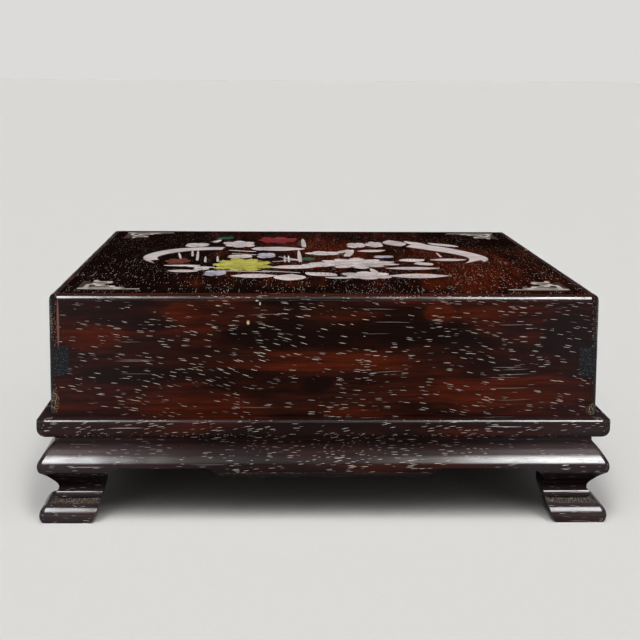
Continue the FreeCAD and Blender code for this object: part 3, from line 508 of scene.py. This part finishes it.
def slate(name):
    """Slate for the stone: what is worn or inked goes by how far a point is sunk below the stone's top."""
    material, tree, shader = finish_named(name, (0.045, 0.042, 0.045, 1), 0.5)
    spot = node(tree, "TexCoord").outputs["Object"]
    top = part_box("inkstone")[1][2]
    sunk = math_of(tree, "SUBTRACT", top, node(tree, "SeparateXYZ", {0: spot}).outputs["Z"])
    cloud = clouds(tree, spot, 42, 7, 0.8)
    bedding = node(tree, "Mapping", {"Vector": spot, "Scale": (14, 60, 520)}).outputs[0]
    speck = clouds(tree, spot, 2600, 2)
    body = mixed(tree, ranged(tree, cloud, 0.3, 0.7), SLATE_DARK, SLATE_PALE)
    body = mixed(tree, ranged(tree, clouds(tree, bedding, 1, 4), 0.50, 0.70, 0.0, 0.6), body, SLATE_LAYER)
    body = mixed(tree, ranged(tree, speck, 0.66, 0.80, 0.0, 0.55), body, MICA)
    worn = times(tree, ranged(tree, sunk, 0.4 * FIELD_DEPTH * MM, 0.9 * FIELD_DEPTH * MM),
                 ranged(tree, sunk, INKED_FROM * MM, (FIELD_DEPTH + 0.2) * MM, 0.0, 0.55))
    body = mixed(tree, worn, body, RUBBED_SLATE)
    shore = math_of(tree, "ADD", sunk, times(tree, clouds(tree, spot, 130, 5), 0.0022))
    inked = times(tree, ranged(tree, shore, INKED_FROM * MM, INKED_TO * MM),
                  ranged(tree, sunk, (WELL_DEPTH + 1.0) * MM, (WELL_DEPTH + 0.3) * MM))
    body = mixed(tree, inked, body, DRIED_INK)
    tree.links.new(body, shader.inputs["Base Color"])
    dull = mixed(tree, inked, ranged(tree, cloud, 0.3, 0.7, 0.40, 0.56), grey(0.22))
    tree.links.new(dull, shader.inputs["Roughness"])
    bump = node(tree, "Bump", {"Height": speck, "Strength": 0.3, "Distance": 0.0001})
    tree.links.new(bump.outputs[0], shader.inputs["Normal"])
    return material


dress("inkstone", slate("inkstone_slate"))


# ---------------------------------------------------------------- ink stick
# Soot and glue pressed in a carved mould: jet black with a dull shine. Worn gilding lies on the raised border
# round its sunk panel.
GILDING_WIDTH, GILDING_MIDDLE = 1.1, 2.25
GILT_TOP = 0.05
SOOT_DARK, SOOT_GREY, GILT = (0.005, 0.005, 0.006), (0.017, 0.016, 0.017), (0.62, 0.40, 0.12)


def pressed_ink(name):
    """Ink with a gilt line round its top, GILDING_MIDDLE mm in from the stick's sides."""
    material, tree, shader = finish_named(name, (0.008, 0.008, 0.009, 1), 0.4)
    spot = node(tree, "TexCoord").outputs["Object"]
    place = node(tree, "SeparateXYZ", {0: spot})
    low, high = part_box("ink_stick")

    def in_from_side(axis):
        off_middle = distance(tree, place.outputs[axis], (high[axis] + low[axis]) / 2)
        return math_of(tree, "SUBTRACT", (high[axis] - low[axis]) / 2, off_middle)

    inwards = math_of(tree, "MINIMUM", in_from_side(0), in_from_side(1))
    off_line = distance(tree, inwards, GILDING_MIDDLE * MM)
    gilt = times(tree, ranged(tree, off_line, GILDING_WIDTH / 2 * MM, GILDING_WIDTH / 2.6 * MM),
                 math_of(tree, "GREATER_THAN", place.outputs["Z"], high[2] - GILT_TOP * MM))
    gilt = times(tree, gilt, ranged(tree, clouds(tree, spot, 700, 4), 0.36, 0.48))
    bloom_and_sheen = clouds(tree, spot, 220, 5)
    body = mixed(tree, ranged(tree, bloom_and_sheen, 0.35, 0.75), SOOT_DARK, SOOT_GREY)
    body = mixed(tree, gilt, body, GILT)
    tree.links.new(body, shader.inputs["Base Color"])
    tree.links.new(times(tree, gilt, 0.9), shader.inputs["Metallic"])
    tree.links.new(ranged(tree, bloom_and_sheen, 0.3, 0.7, 0.28, 0.46), shader.inputs["Roughness"])
    return material


dress("ink_stick", pressed_ink("pressed_ink"))


# ---------------------------------------------------------------- lid boards
# Front and back boards are notched at mid height, and one thick tongue of each side board comes through them
# and shows its blue-black end grain. The outer arrises are rounded over after gluing up. A grey sheen is
# painted on towards the ends for the lamps' reflection, and a pinkish highlight down the rounded left front
# corner of the front board.
FRONT_FIGURE = ((-5, 63.5, 80, 0.9, 0.45), (-37, 32.5, 20, 4, 0.22), (50, 35, 26, 6, 0.12),
                (5, 45, 22, 3, 0.10), (-62, 51, 8, 4, 0.16), (31, 58, 4, 3.5, 0.20), (-39, 58, 5, 3, 0.14),
                (-10, 52, 20, 5, -0.16), (26, 53, 16, 4, -0.14), (-2, 38.5, 4, 2, -0.20),
                (-50, 41, 16, 3, -0.10), (67, 52, 7, 6, -0.18))
# The third colour is a painted highlight: the last two marks below lay it down the rounded left front corner.
PIT_WAX, NICK, PAINTED_ARRIS_HIGHLIGHT = (0.40, 0.34, 0.19), (0.40, 0.38, 0.36), (0.15, 0.068, 0.056)
FRONT_PITS_AND_HIGHLIGHT = ((-21, 55.4, 0.42, 0.62, PIT_WAX), (-18.6, 61.4, 0.45, 0.22, NICK),
              (-17.8, 60.6, 0.25, 0.5, NICK), (-72.4, 55, 0.32, 7.2, PAINTED_ARRIS_HIGHLIGHT),
              (-71.8, 44, 0.25, 3.0, PAINTED_ARRIS_HIGHLIGHT))
FRONT_DUST = ((-73.9, 33.5, 1.8, 3.6), (73.8, 31.3, 2.2, 1.9), (74.7, 55, 0.6, 8.5), (-74.3, 56, 0.5, 6))
FRONT_MARKS = {"figure": FRONT_FIGURE, "pits_and_painted_highlights": FRONT_PITS_AND_HIGHLIGHT, "crumbled": FRONT_DUST}
for name, grain, place, tilt, marks in (("lid_front_board", "x", (0.02, 0.0, 0.0), -0.11, FRONT_MARKS),
                                        ("lid_back_board", "x", (0.77, 0.2, 0.0), 0.06, {}),
                                        ("lid_left_board", "y", (0.13, 0.3, 0.1), 0.05, {}),
                                        ("lid_right_board", "y", (0.41, 0.6, 0.2), 0.05, {})):
    dress(name, rosewood(name + "_rosewood", grain, place, tilt, redness=0.6, bloom_and_sheen=(0.0, 0.16), **marks))


# ---------------------------------------------------------------- lid top panel
# A thin panel with its grain from front to back, sunk flush between the lips of the boards. Its middle is
# warm, its left side almost black.
PANEL_FIGURE = ((0, -57, 110, 26, -0.24), (-82, -20, 10, 60, -0.16), (-20, 46, 60, 18, 0.20),
                (20, 4, 45, 15, 0.20), (65, 60, 36, 22, -0.20), (-70, 38, 14, 12, 0.14))
dress("lid_top_panel", rosewood("panel_rosewood", "y", (0.23, 0.8, 0.5), redness=0.45, openness=1.1,
                                gloss=0.09, planing=0.15, flat=True, figure=PANEL_FIGURE))


# ---------------------------------------------------------------- shell and stone
# The inlay is mother-of-pearl and soft stone, polished and scribed with a graver. Each kind has a pale and a
# shaded colour, and the colour of the lines scribed in it and of the glue round it. On a slip's walls that
# glue colour is also painted shadow, under the slip's raised edge.
TONES = {
    "white_shell": ((0.92, 0.82, 0.80), (0.66, 0.54, 0.53), (0.050, 0.026, 0.020)),
    "lavender_shell": ((0.72, 0.68, 0.78), (0.48, 0.45, 0.54), (0.05, 0.04, 0.06)),
    "scroll_shell": ((0.66, 0.57, 0.51), (0.44, 0.38, 0.34), (0.050, 0.026, 0.020)),
    "yellow_stone": ((0.72, 0.70, 0.17), (0.52, 0.47, 0.07), (0.20, 0.15, 0.02)),
    "red_stone": ((0.40, 0.045, 0.055), (0.24, 0.022, 0.03), (0.07, 0.006, 0.008)),
    "bud_stone": ((0.21, 0.052, 0.030), (0.12, 0.030, 0.018), (0.03, 0.008, 0.006)),
    "green_stone": ((0.030, 0.17, 0.10), (0.015, 0.09, 0.055), (0.005, 0.03, 0.02)),
}
SHELL_GREEN, SHELL_ROSE = (0.60, 0.72, 0.68), (0.78, 0.60, 0.68)
VEINS = 7


@cache
def scribed_finish(tone, veins):
    """Polished shell or stone with scribed lines; veins is "petal", "leaf" or None for plain."""
    pale, shade, line_colour = TONES[tone]
    material, tree, shader = finish_named(f"{tone}_{veins or 'plain'}", (*pale, 1), 0.28)
    spot = node(tree, "TexCoord").outputs["Object"]
    wave = {"Vector": spot, "Scale": 260, "Distortion": 7, "Detail": 2, "Detail Scale": 0.6}
    layers = node(tree, "TexWave", wave).outputs["Fac"]
    body = mixed(tree, ranged(tree, clouds(tree, spot, 170, 3, 0.5), 0.34, 0.66), pale, shade)
    body = mixed(tree, ranged(tree, layers, 0.55, 0.95, 0.0, 0.30), body, shade)
    own_tone = node(tree, "NewGeometry").outputs["Random Per Island"]
    body = mixed(tree, 1.0, body, ranged(tree, own_tone, 0.0, 1.0, 0.80, 1.10), "MULTIPLY")
    if tone.endswith("shell"):
        lustre = clouds(tree, spot, 95, 1)
        body = mixed(tree, ranged(tree, lustre, 0.52, 0.75, 0.0, 0.5), body, SHELL_GREEN)
        body = mixed(tree, ranged(tree, lustre, 0.46, 0.28, 0.0, 0.5), body, SHELL_ROSE)
    relief = ranged(tree, layers, 0.0, 1.0, 0.0, 0.15)
    if veins:
        flat = node(tree, "SeparateXYZ", {0: node(tree, "UVMap").outputs["UV"]})
        length, breadth = flat.outputs["X"], flat.outputs["Y"]
        if veins == "petal":
            count = times(tree, breadth, VEINS)
            fading = ranged(tree, length, 0.98, 0.55)
        else:
            side = distance(tree, breadth, 0.5)
            count = math_of(tree, "SUBTRACT", times(tree, length, VEINS), times(tree, side, 4))
            fading = ranged(tree, side, 0.48, 0.3)
        near = distance(tree, math_of(tree, "FRACT", count), 0.5)
        line = times(tree, ranged(tree, near, 0.18, 0.05), fading)
        body = mixed(tree, times(tree, line, 0.75), body, line_colour)
        body = mixed(tree, ranged(tree, length, 0.40, 0.0, 0.0, 0.7), body, shade)
        relief = math_of(tree, "SUBTRACT", relief, line)
    tree.links.new(body, shader.inputs["Base Color"])
    shader.inputs["Specular IOR Level"].default_value = 0.08
    bump = node(tree, "Bump", {"Height": relief, "Strength": 0.6, "Distance": 0.00008})
    tree.links.new(bump.outputs[0], shader.inputs["Normal"])
    return material


@cache
def glue_and_shadow_line(tone):
    """The dark edge of a slip, where the saw cut has filled with glue and polish. On the slip's walls it is
    also painted shadow, under the slip's raised edge.
    """
    line_colour = TONES[tone][2]
    material, tree, shader = finish_named(tone + "_glue_and_shadow_line", (*line_colour, 1), 0.5)
    grime = clouds(tree, node(tree, "TexCoord").outputs["Object"], 900, 2)
    uneven = ranged(tree, grime, 0.3, 0.7, 0.5, 1.6)
    tree.links.new(mixed(tree, 1.0, line_colour, uneven, "MULTIPLY"), shader.inputs["Base Color"])
    return material


# ---------------------------------------------------------------- sawing and setting slips
# A slip is sawn from a thin sheet, its face slightly carved and its edge left dark by the glue; its dark
# walls are painted shadow as well. Slips are set in pockets of the panel, and each stands a few tenths of a
# millimetre above the wood.
PANEL_TOP = 63.0
SLIP_THICKNESS = 0.45
GLUE_BELOW_PANEL = 0.04
MERGED = 0.001
SAWN_FACE, SAWN_EDGE = bpy.data.materials.new("sawn_face"), bpy.data.materials.new("sawn_edge")


def alone(piece):
    """Selects this piece and nothing else, and makes it the one that the operators act on."""
    bpy.ops.object.select_all(action="DESELECT")
    piece.select_set(True)
    bpy.context.view_layer.objects.active = piece


def pick(test, kind="verts"):
    """In edit mode, selects the corners or faces that test agrees to, and nothing else."""
    bpy.ops.mesh.select_mode(type="FACE" if kind == "faces" else "VERT")
    bpy.ops.mesh.select_all(action="DESELECT")
    shape = bmesh.from_edit_mesh(bpy.context.edit_object.data)
    for part in getattr(shape, kind):
        if test(part):
            part.select_set(True)
    bmesh.update_edit_mesh(bpy.context.edit_object.data)


def give_sawn_slots(piece):
    """Two slots: the polished face first, then the sawn edge."""
    piece.data.materials.clear()
    piece.data.materials.append(SAWN_FACE)
    piece.data.materials.append(SAWN_EDGE)


def rimmed(piece, rim):
    """In edit mode, insets the selected faces by a rim in mm and gives all the rest of the piece, rim
    included, the sawn edge's slot. Leaves edit mode."""
    bpy.ops.mesh.inset(thickness=rim * MM, depth=0)
    bpy.ops.mesh.select_all(action="INVERT")
    piece.active_material_index = 1
    bpy.ops.object.material_slot_assign()
    bpy.ops.object.mode_set(mode="OBJECT")


def thickened(piece, thickness):
    """Gives a sheet its thickness in mm, downwards, with a sawn edge all round."""
    bpy.ops.object.modifier_add(type="SOLIDIFY")
    wall = piece.modifiers[-1]
    wall.thickness = thickness * MM
    wall.offset = -1
    wall.material_offset_rim = 1
    bpy.ops.object.modifier_apply(modifier=wall.name)


def sawn_slip(name, length, widths, rows, tip=(), rim=0.22):
    """A slip lying along x from its root at the origin, in mm.

    widths are its full widths at even steps from root to tip, rows the heights of its surface from one edge
    across to the other, and tip how far each row reaches past the length at the end.
    """
    columns, lanes = len(widths) - 1, len(rows) - 1
    bpy.ops.mesh.primitive_grid_add(x_subdivisions=columns, y_subdivisions=lanes, size=1,
                                    location=(0.5, 0, 0))
    slip = bpy.context.object
    slip.name = name
    give_sawn_slots(slip)
    bpy.ops.object.transform_apply(location=True)
    bpy.ops.object.mode_set(mode="EDIT")
    for lane, height in enumerate(rows):
        across = lane / lanes - 0.5
        pick(lambda corner: abs(corner.co.y - across) < 0.01)
        bpy.ops.transform.translate(value=(0, 0, height))
    for column, width in enumerate(widths):
        along = column / columns
        pick(lambda corner: abs(corner.co.x - along) < 0.4 / columns)
        bpy.ops.transform.resize(value=(1, width, 1), center_override=(0, 0, 0))
    for lane, reach in enumerate(tip):
        across = (lane / lanes - 0.5) * widths[-1]
        pick(lambda corner: abs(corner.co.y - across) < 0.01 and corner.co.x > 0.99)
        bpy.ops.transform.translate(value=(reach / length, 0, 0))
    bpy.ops.mesh.select_all(action="SELECT")
    bpy.ops.transform.resize(value=(length * MM, MM, MM), center_override=(0, 0, 0))
    rimmed(slip, rim)
    thickened(slip, SLIP_THICKNESS)
    return slip


def laid(model, x, y, turn=0.0, length=1.0, width=1.0, lift=0.0):
    """A copy of a slip with its own mesh, sized, turned by degrees and laid on the panel; places in mm."""
    alone(model)
    bpy.ops.object.duplicate()
    copy = bpy.context.object
    copy.scale = (length, width, 1)
    copy.rotation_euler = (0, 0, math.radians(turn))
    copy.location = Vector((x, y, lift)) * MM
    bpy.ops.object.transform_apply(location=True, rotation=True, scale=True)
    return copy


def own_copy(name):
    """A copy of a CAD node's mesh with the two slots and merged corners, all selected in edit mode."""
    alone(nodes[name])
    bpy.ops.object.duplicate()
    copy = bpy.context.object
    del copy["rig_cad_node"]
    give_sawn_slots(copy)
    bpy.ops.object.mode_set(mode="EDIT")
    bpy.ops.mesh.select_all(action="SELECT")
    bpy.ops.mesh.remove_doubles(threshold=MERGED * MM)
    bpy.ops.mesh.customdata_custom_splitnormals_clear()
    return copy


def bed(name):
    """The dark glue that fills a pocket almost up to the panel's surface, under its slips."""
    glue = own_copy(name)
    top = max(corner.co.z for corner in nodes[name].data.vertices)
    pick(lambda corner: corner.co.z > top - 0.01 * MM)
    bpy.ops.transform.translate(value=(0, 0, (PANEL_TOP - GLUE_BELOW_PANEL) * MM - top))
    bpy.ops.object.mode_set(mode="OBJECT")
    for face in glue.data.polygons:
        face.material_index = 1
    return glue


def joined_slips(name, slips, slot, veins, tone=None):
    """Joins slips into one piece that stands for the CAD node of the same name and rides on the lid.

    slot is that node's kind of shell or stone, and tone names its colours where they aren't the slot's own.
    """
    alone(slips[0])
    for slip in slips[1:]:
        slip.select_set(True)
    if len(slips) > 1:
        bpy.ops.object.join()
    piece = bpy.context.object
    piece.name = "sawn_" + name
    piece.data.materials[0] = scribed_finish(tone or slot, veins)
    piece.data.materials[1] = glue_and_shadow_line(tone or slot)
    bpy.ops.object.shade_smooth_by_angle(angle=math.radians(35))
    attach(piece, "lid")
    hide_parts(name)


# ---------------------------------------------------------------- flower spray
# Peony, blossoms, leaves and stems. A flower is rings of petals, outermost first; a ring is its petal, how
# many there are of the outer ring's number, its reach as a share of the flower's, and its lift in mm.
PETAL_LENGTH, PETAL_WIDTH = 10.0, 6.0
LEAF_LENGTH, LEAF_WIDTH, STEM_WIDTH = 10.0, 10.0, 1.0
LEAF_LIFT = 0.10
PETAL_OVERLAP = 1.9
BROADEST_AT = 0.72
SWAY, UNEVENNESS = 5, 0.09
ALTERNATE_LIFT = 0.02

round_petal = sawn_slip("round_petal", PETAL_LENGTH, (1.4, 2.2, 3.2, 4.4, 5.4, 6.0, 5.9, 5.1, 3.2),
                        (0.0, 0.05, 0.03, 0.05, 0.0), (-0.7, 0.2, -0.1, 0.2, -0.7))
torn_petal = sawn_slip("torn_petal", PETAL_LENGTH, (1.4, 2.6, 3.8, 5.0, 5.4, 6.0, 5.2, 5.8, 3.8),
                       (0.0, 0.05, 0.03, 0.06, 0.02, 0.05, 0.0), (-0.9, 0.5, -0.7, 0.6, -0.6, 0.5, -1.0))
leaf = sawn_slip("leaf", LEAF_LENGTH, (0.3, 3.6, 6.1, 8.2, 9.3, 9.6, 10.0, 9.2, 8.4, 6.0, 3.7, 0.3),
                 (0.0, 0.10, 0.02, 0.10, 0.0))
stem = sawn_slip("stem", LEAF_LENGTH, (0.7, 0.9, 1.0, 1.0, 1.0, 0.9, 0.8, 0.6, 0.4),
                 (0.0, 0.08, 0.0), rim=0.06)

PEONY_RINGS = ((round_petal, 1.0, 1.0, 0.02), (round_petal, 0.75, 0.76, 0.12), (round_petal, 0.5, 0.52, 0.20),
               (round_petal, 0.3, 0.28, 0.27))
DAISY_RINGS = ((torn_petal, 1.0, 1.02, 0.04), (torn_petal, 0.75, 0.72, 0.14), (round_petal, 0.5, 0.34, 0.24))
BLOSSOM_RINGS = ((round_petal, 1.0, 1.04, 0.06), (round_petal, 0.7, 0.55, 0.14))
BUD_RINGS = ((torn_petal, 1.0, 1.04, 0.06), (torn_petal, 0.7, 0.6, 0.12))


def flower(x, y, half_x, half_y, count, rings, turn=0.0):
    """One flower on the panel, count petals in its outer ring; turn is in degrees, the rest in mm."""
    size = (half_x + half_y) / 2
    petals = []
    for order, (model, share, reach, lift) in enumerate(rings):
        number = max(3, round(count * share))
        room = 2 * math.pi * size * reach * BROADEST_AT / number
        broad = PETAL_OVERLAP / 2 * room / PETAL_WIDTH
        for step in range(number):
            sway = SWAY * math.sin(7.0 * step + 3.0 * order)
            angle = turn + 360 * (step + 0.5 + 0.5 * order) / number + sway
            uneven = 1 + UNEVENNESS * math.sin(4.0 * step + 2.0 * order)
            long = size * reach / PETAL_LENGTH * uneven
            petals.append(laid(model, 0, 0, angle, long, broad, lift + ALTERNATE_LIFT * (step % 2)))
    alone(petals[0])
    for petal in petals:
        petal.select_set(True)
    bpy.ops.object.join()
    whole = bpy.context.object
    whole.scale = (half_x / size, half_y / size, 1)
    whole.location = Vector((x, y, PANEL_TOP)) * MM
    bpy.ops.object.transform_apply(location=True, rotation=True, scale=True)
    return whole


def set_out(places, model=leaf, model_width=LEAF_WIDTH):
    """Leaves or stems on the panel, each given by its middle, length and width in mm, and turn in degrees."""
    slips = []
    for x, y, length, width, turn in places:
        root_x = x - length / 2 * math.cos(math.radians(turn))
        root_y = y - length / 2 * math.sin(math.radians(turn))
        slips.append(laid(model, root_x, root_y, turn, length / LEAF_LENGTH, width / model_width,
                          PANEL_TOP + LEAF_LIFT))
    return slips


joined_slips("white_peony", [flower(12.3, -15.8, 12.6, 14.0, 11, PEONY_RINGS), bed("white_peony")],
             "white_shell", "petal")
joined_slips("yellow_flower", [flower(-23.9, -20.5, 8.8, 16.7, 9, DAISY_RINGS), bed("yellow_flower")],
             "yellow_stone", "petal")
joined_slips("red_flower", [flower(-12.2, 55.5, 7.0, 10.2, 7, DAISY_RINGS), bed("red_flower")],
             "red_stone", "petal")
joined_slips("red_bud", [flower(-44.7, -11.9, 3.9, 7.2, 6, BUD_RINGS, 90), bed("red_bud")],
             "red_stone", "petal", "bud_stone")

# blossoms: place, half widths both ways, petals; leaves, stems and tendrils: as set_out takes them
WHITE_BLOSSOMS = ((13.8, -47.2, 7.0, 9.4, 6), (-36.2, -31, 2.5, 4.5, 4), (2.7, 12.5, 5.4, 6.2, 5),
                  (-40.6, 38, 4.2, 6.7, 4), (-26, 41, 5.4, 11.2, 6), (-25, 2.2, 4.2, 5.2, 4),
                  (15, 38.5, 3.4, 8.2, 4), (21.6, 41, 3, 9.7, 5), (0, -20.5, 4.6, 6, 5))
LAVENDER_BLOSSOMS = ((-31.6, -42.2, 3.4, 6.8, 4), (-16.4, 5.5, 3.1, 7.8, 4), (22.2, 2.6, 3.4, 3.6, 4),
                     (-17.6, 26.5, 3.6, 5.4, 4))
WIDE_PETAL = ((-12.5, 25.8, 18.3, 12.3, -2),)
SHELL_LEAVES = ((-7.6, -26.6, 15.5, 9.4, 10), (29, -29.5, 16.8, 7.2, 2), (29, -48.3, 18.3, 10.6, 2),
                (0.2, -44.8, 12.0, 8.4, 140), (-9.3, -52.5, 15.0, 9.6, 265), (-19.8, -49, 13.8, 9.6, 183),
                (-41.6, -37.6, 9.3, 6.3, -5), (-42.6, -23.6, 11.3, 3.9, 2), (5.2, -53.2, 8.3, 4.3, -6),
                (42.6, -6, 11.8, 6.8, 3), (30.6, -7.6, 9.3, 8.3, 25), (33.6, -17.4, 9.3, 5.8, 110),
                (19.2, 20, 10.3, 6.8, 20), (45.8, 39.8, 15.3, 5.3, -52), (29, 45.5, 20.3, 7.8, 98),
                (-36.5, -27.5, 9, 2.6, -14), (9.6, 17.5, 12, 4, 70), (36.5, 44, 18, 5, 112))
GREEN_LEAVES = ((-2.9, -4.4, 9.3, 4.7, 92), (-31.4, 61.5, 9.3, 5.3, 60))
STEMS = ((11.4, 12.4, 20, 2.6, 82), (-7.6, -6, 11, 1.8, 120), (-34, 51, 10, 2.2, 80),
         (-22.4, -38.2, 15, 1.8, -11), (-3.4, 45, 28, 1.6, 90), (-11.7, -39, 12.5, 1.6, -24),
         (-24.5, 18.6, 10, 1.8, -24), (-23.7, 8.6, 9, 1.6, -25), (16.5, -37, 12, 2.0, 95),
         (-5.5, 3, 34, 1.3, 90))
TENDRILS = ((-44.8, 3.6, 18, 0.8, 95), (-41, 10.5, 17, 0.8, 93), (-39, 5, 30, 0.9, 92),
            (-36, -7, 16, 0.8, 92), (-32.1, -5.5, 16, 0.7, 92), (-10.4, -5, 18, 0.7, 90),
            (-9.1, -5, 18, 0.7, 90), (41, 8, 13, 0.8, 91), (-8.6, -3.3, 12, 0.8, -52),
            (-9.7, -9.5, 12, 0.8, 37))

white_blossoms = [flower(*place, BLOSSOM_RINGS) for place in WHITE_BLOSSOMS] + set_out(WIDE_PETAL)
joined_slips("shell_petals", white_blossoms + [bed("shell_petals")], "white_shell", "petal")
lavender_blossoms = [flower(*place, BLOSSOM_RINGS) for place in LAVENDER_BLOSSOMS]
joined_slips("lavender_petals", lavender_blossoms + [bed("lavender_petals")], "lavender_shell", "petal")
joined_slips("shell_leaves", set_out(SHELL_LEAVES) + [bed("shell_leaves")], "white_shell", "leaf")
joined_slips("green_leaves", set_out(GREEN_LEAVES) + [bed("green_leaves")], "green_stone", "leaf")
thin_slips = set_out(STEMS + TENDRILS, stem, STEM_WIDTH)
joined_slips("shell_stems", thin_slips + [bed("shell_stems")], "white_shell", "petal")

for model in (round_petal, torn_petal, leaf, stem):
    bpy.data.objects.remove(model)


# ---------------------------------------------------------------- shell ring
# Two long horns of thicker shell close round the spray, left and right, cut whole from the flat of the shell.
# Each has a narrow dark rim where its edge is eased.
HORN_RIM = 0.2
for name in ("shell_ring_left", "shell_ring_right"):
    horn = own_copy(name)
    pick(lambda face: face.normal.z > 0.9, "faces")
    rimmed(horn, HORN_RIM)
    joined_slips(name, [horn], "white_shell", None)


# ---------------------------------------------------------------- corner scrolls
# A pierced scroll lies in each corner, sawn out with a piercing saw, softened at its corners and let into
# black lacquer. The rows run from the corner along its long arm, and a dot is a sawn opening.
FRET = ("############",
        "##.....#....",
        ".########...",
        ".#....#.....",
        ".#.####.....",
        ".#.#........",
        ".####.......",
        "..#.........",
        "..####......",
        ".....#......",
        "..####......",
        "..#.........",
        "..#.........")
STEPS, ROWS = len(FRET[0]), len(FRET)
SCROLL_WIDTH, SCROLL_LENGTH = 17.5, 20.0
SCROLL_CORNER_X, SCROLL_CORNER_Y = 68.6, 80.5
SCROLL_RIM, SCROLL_THICKNESS, SCROLL_LIFT = 0.15, 0.3, 0.2
CORNERS = (("front_left", -1, -1), ("front_right", 1, -1), ("back_left", -1, 1), ("back_right", 1, 1))


def is_opening(face):
    middle = face.calc_center_median() / MM
    return FRET[int(middle.y / SCROLL_LENGTH * ROWS)][int(middle.x / SCROLL_WIDTH * STEPS)] == "."


bpy.ops.mesh.primitive_grid_add(x_subdivisions=STEPS, y_subdivisions=ROWS, size=1, location=(0.5, 0.5, 0))
scroll = bpy.context.object
scroll.name = "corner_scroll"
give_sawn_slots(scroll)
bpy.ops.object.transform_apply(location=True)
bpy.ops.object.mode_set(mode="EDIT")
bpy.ops.mesh.select_all(action="SELECT")
bpy.ops.transform.resize(value=(SCROLL_WIDTH * MM, SCROLL_LENGTH * MM, 1), center_override=(0, 0, 0))
pick(is_opening, "faces")
bpy.ops.mesh.delete(type="FACE")
bpy.ops.object.mode_set(mode="OBJECT")
bpy.ops.object.modifier_add(type="SUBSURF")
softening = scroll.modifiers[-1]
softening.levels = 2
bpy.ops.object.modifier_apply(modifier=softening.name)
bpy.ops.object.mode_set(mode="EDIT")
bpy.ops.mesh.select_all(action="SELECT")
rimmed(scroll, SCROLL_RIM)
thickened(scroll, SCROLL_THICKNESS)

for corner, side_x, side_y in CORNERS:
    sawn = laid(scroll, side_x * SCROLL_CORNER_X, side_y * SCROLL_CORNER_Y, 0, -side_x, -side_y,
                PANEL_TOP + SCROLL_LIFT)
    bpy.ops.object.mode_set(mode="EDIT")
    bpy.ops.mesh.select_all(action="SELECT")
    bpy.ops.mesh.normals_make_consistent(inside=False)
    bpy.ops.object.mode_set(mode="OBJECT")
    name = "corner_scroll_" + corner
    joined_slips(name, [sawn, bed(name)], "white_shell", None, "scroll_shell")
bpy.data.objects.remove(scroll)
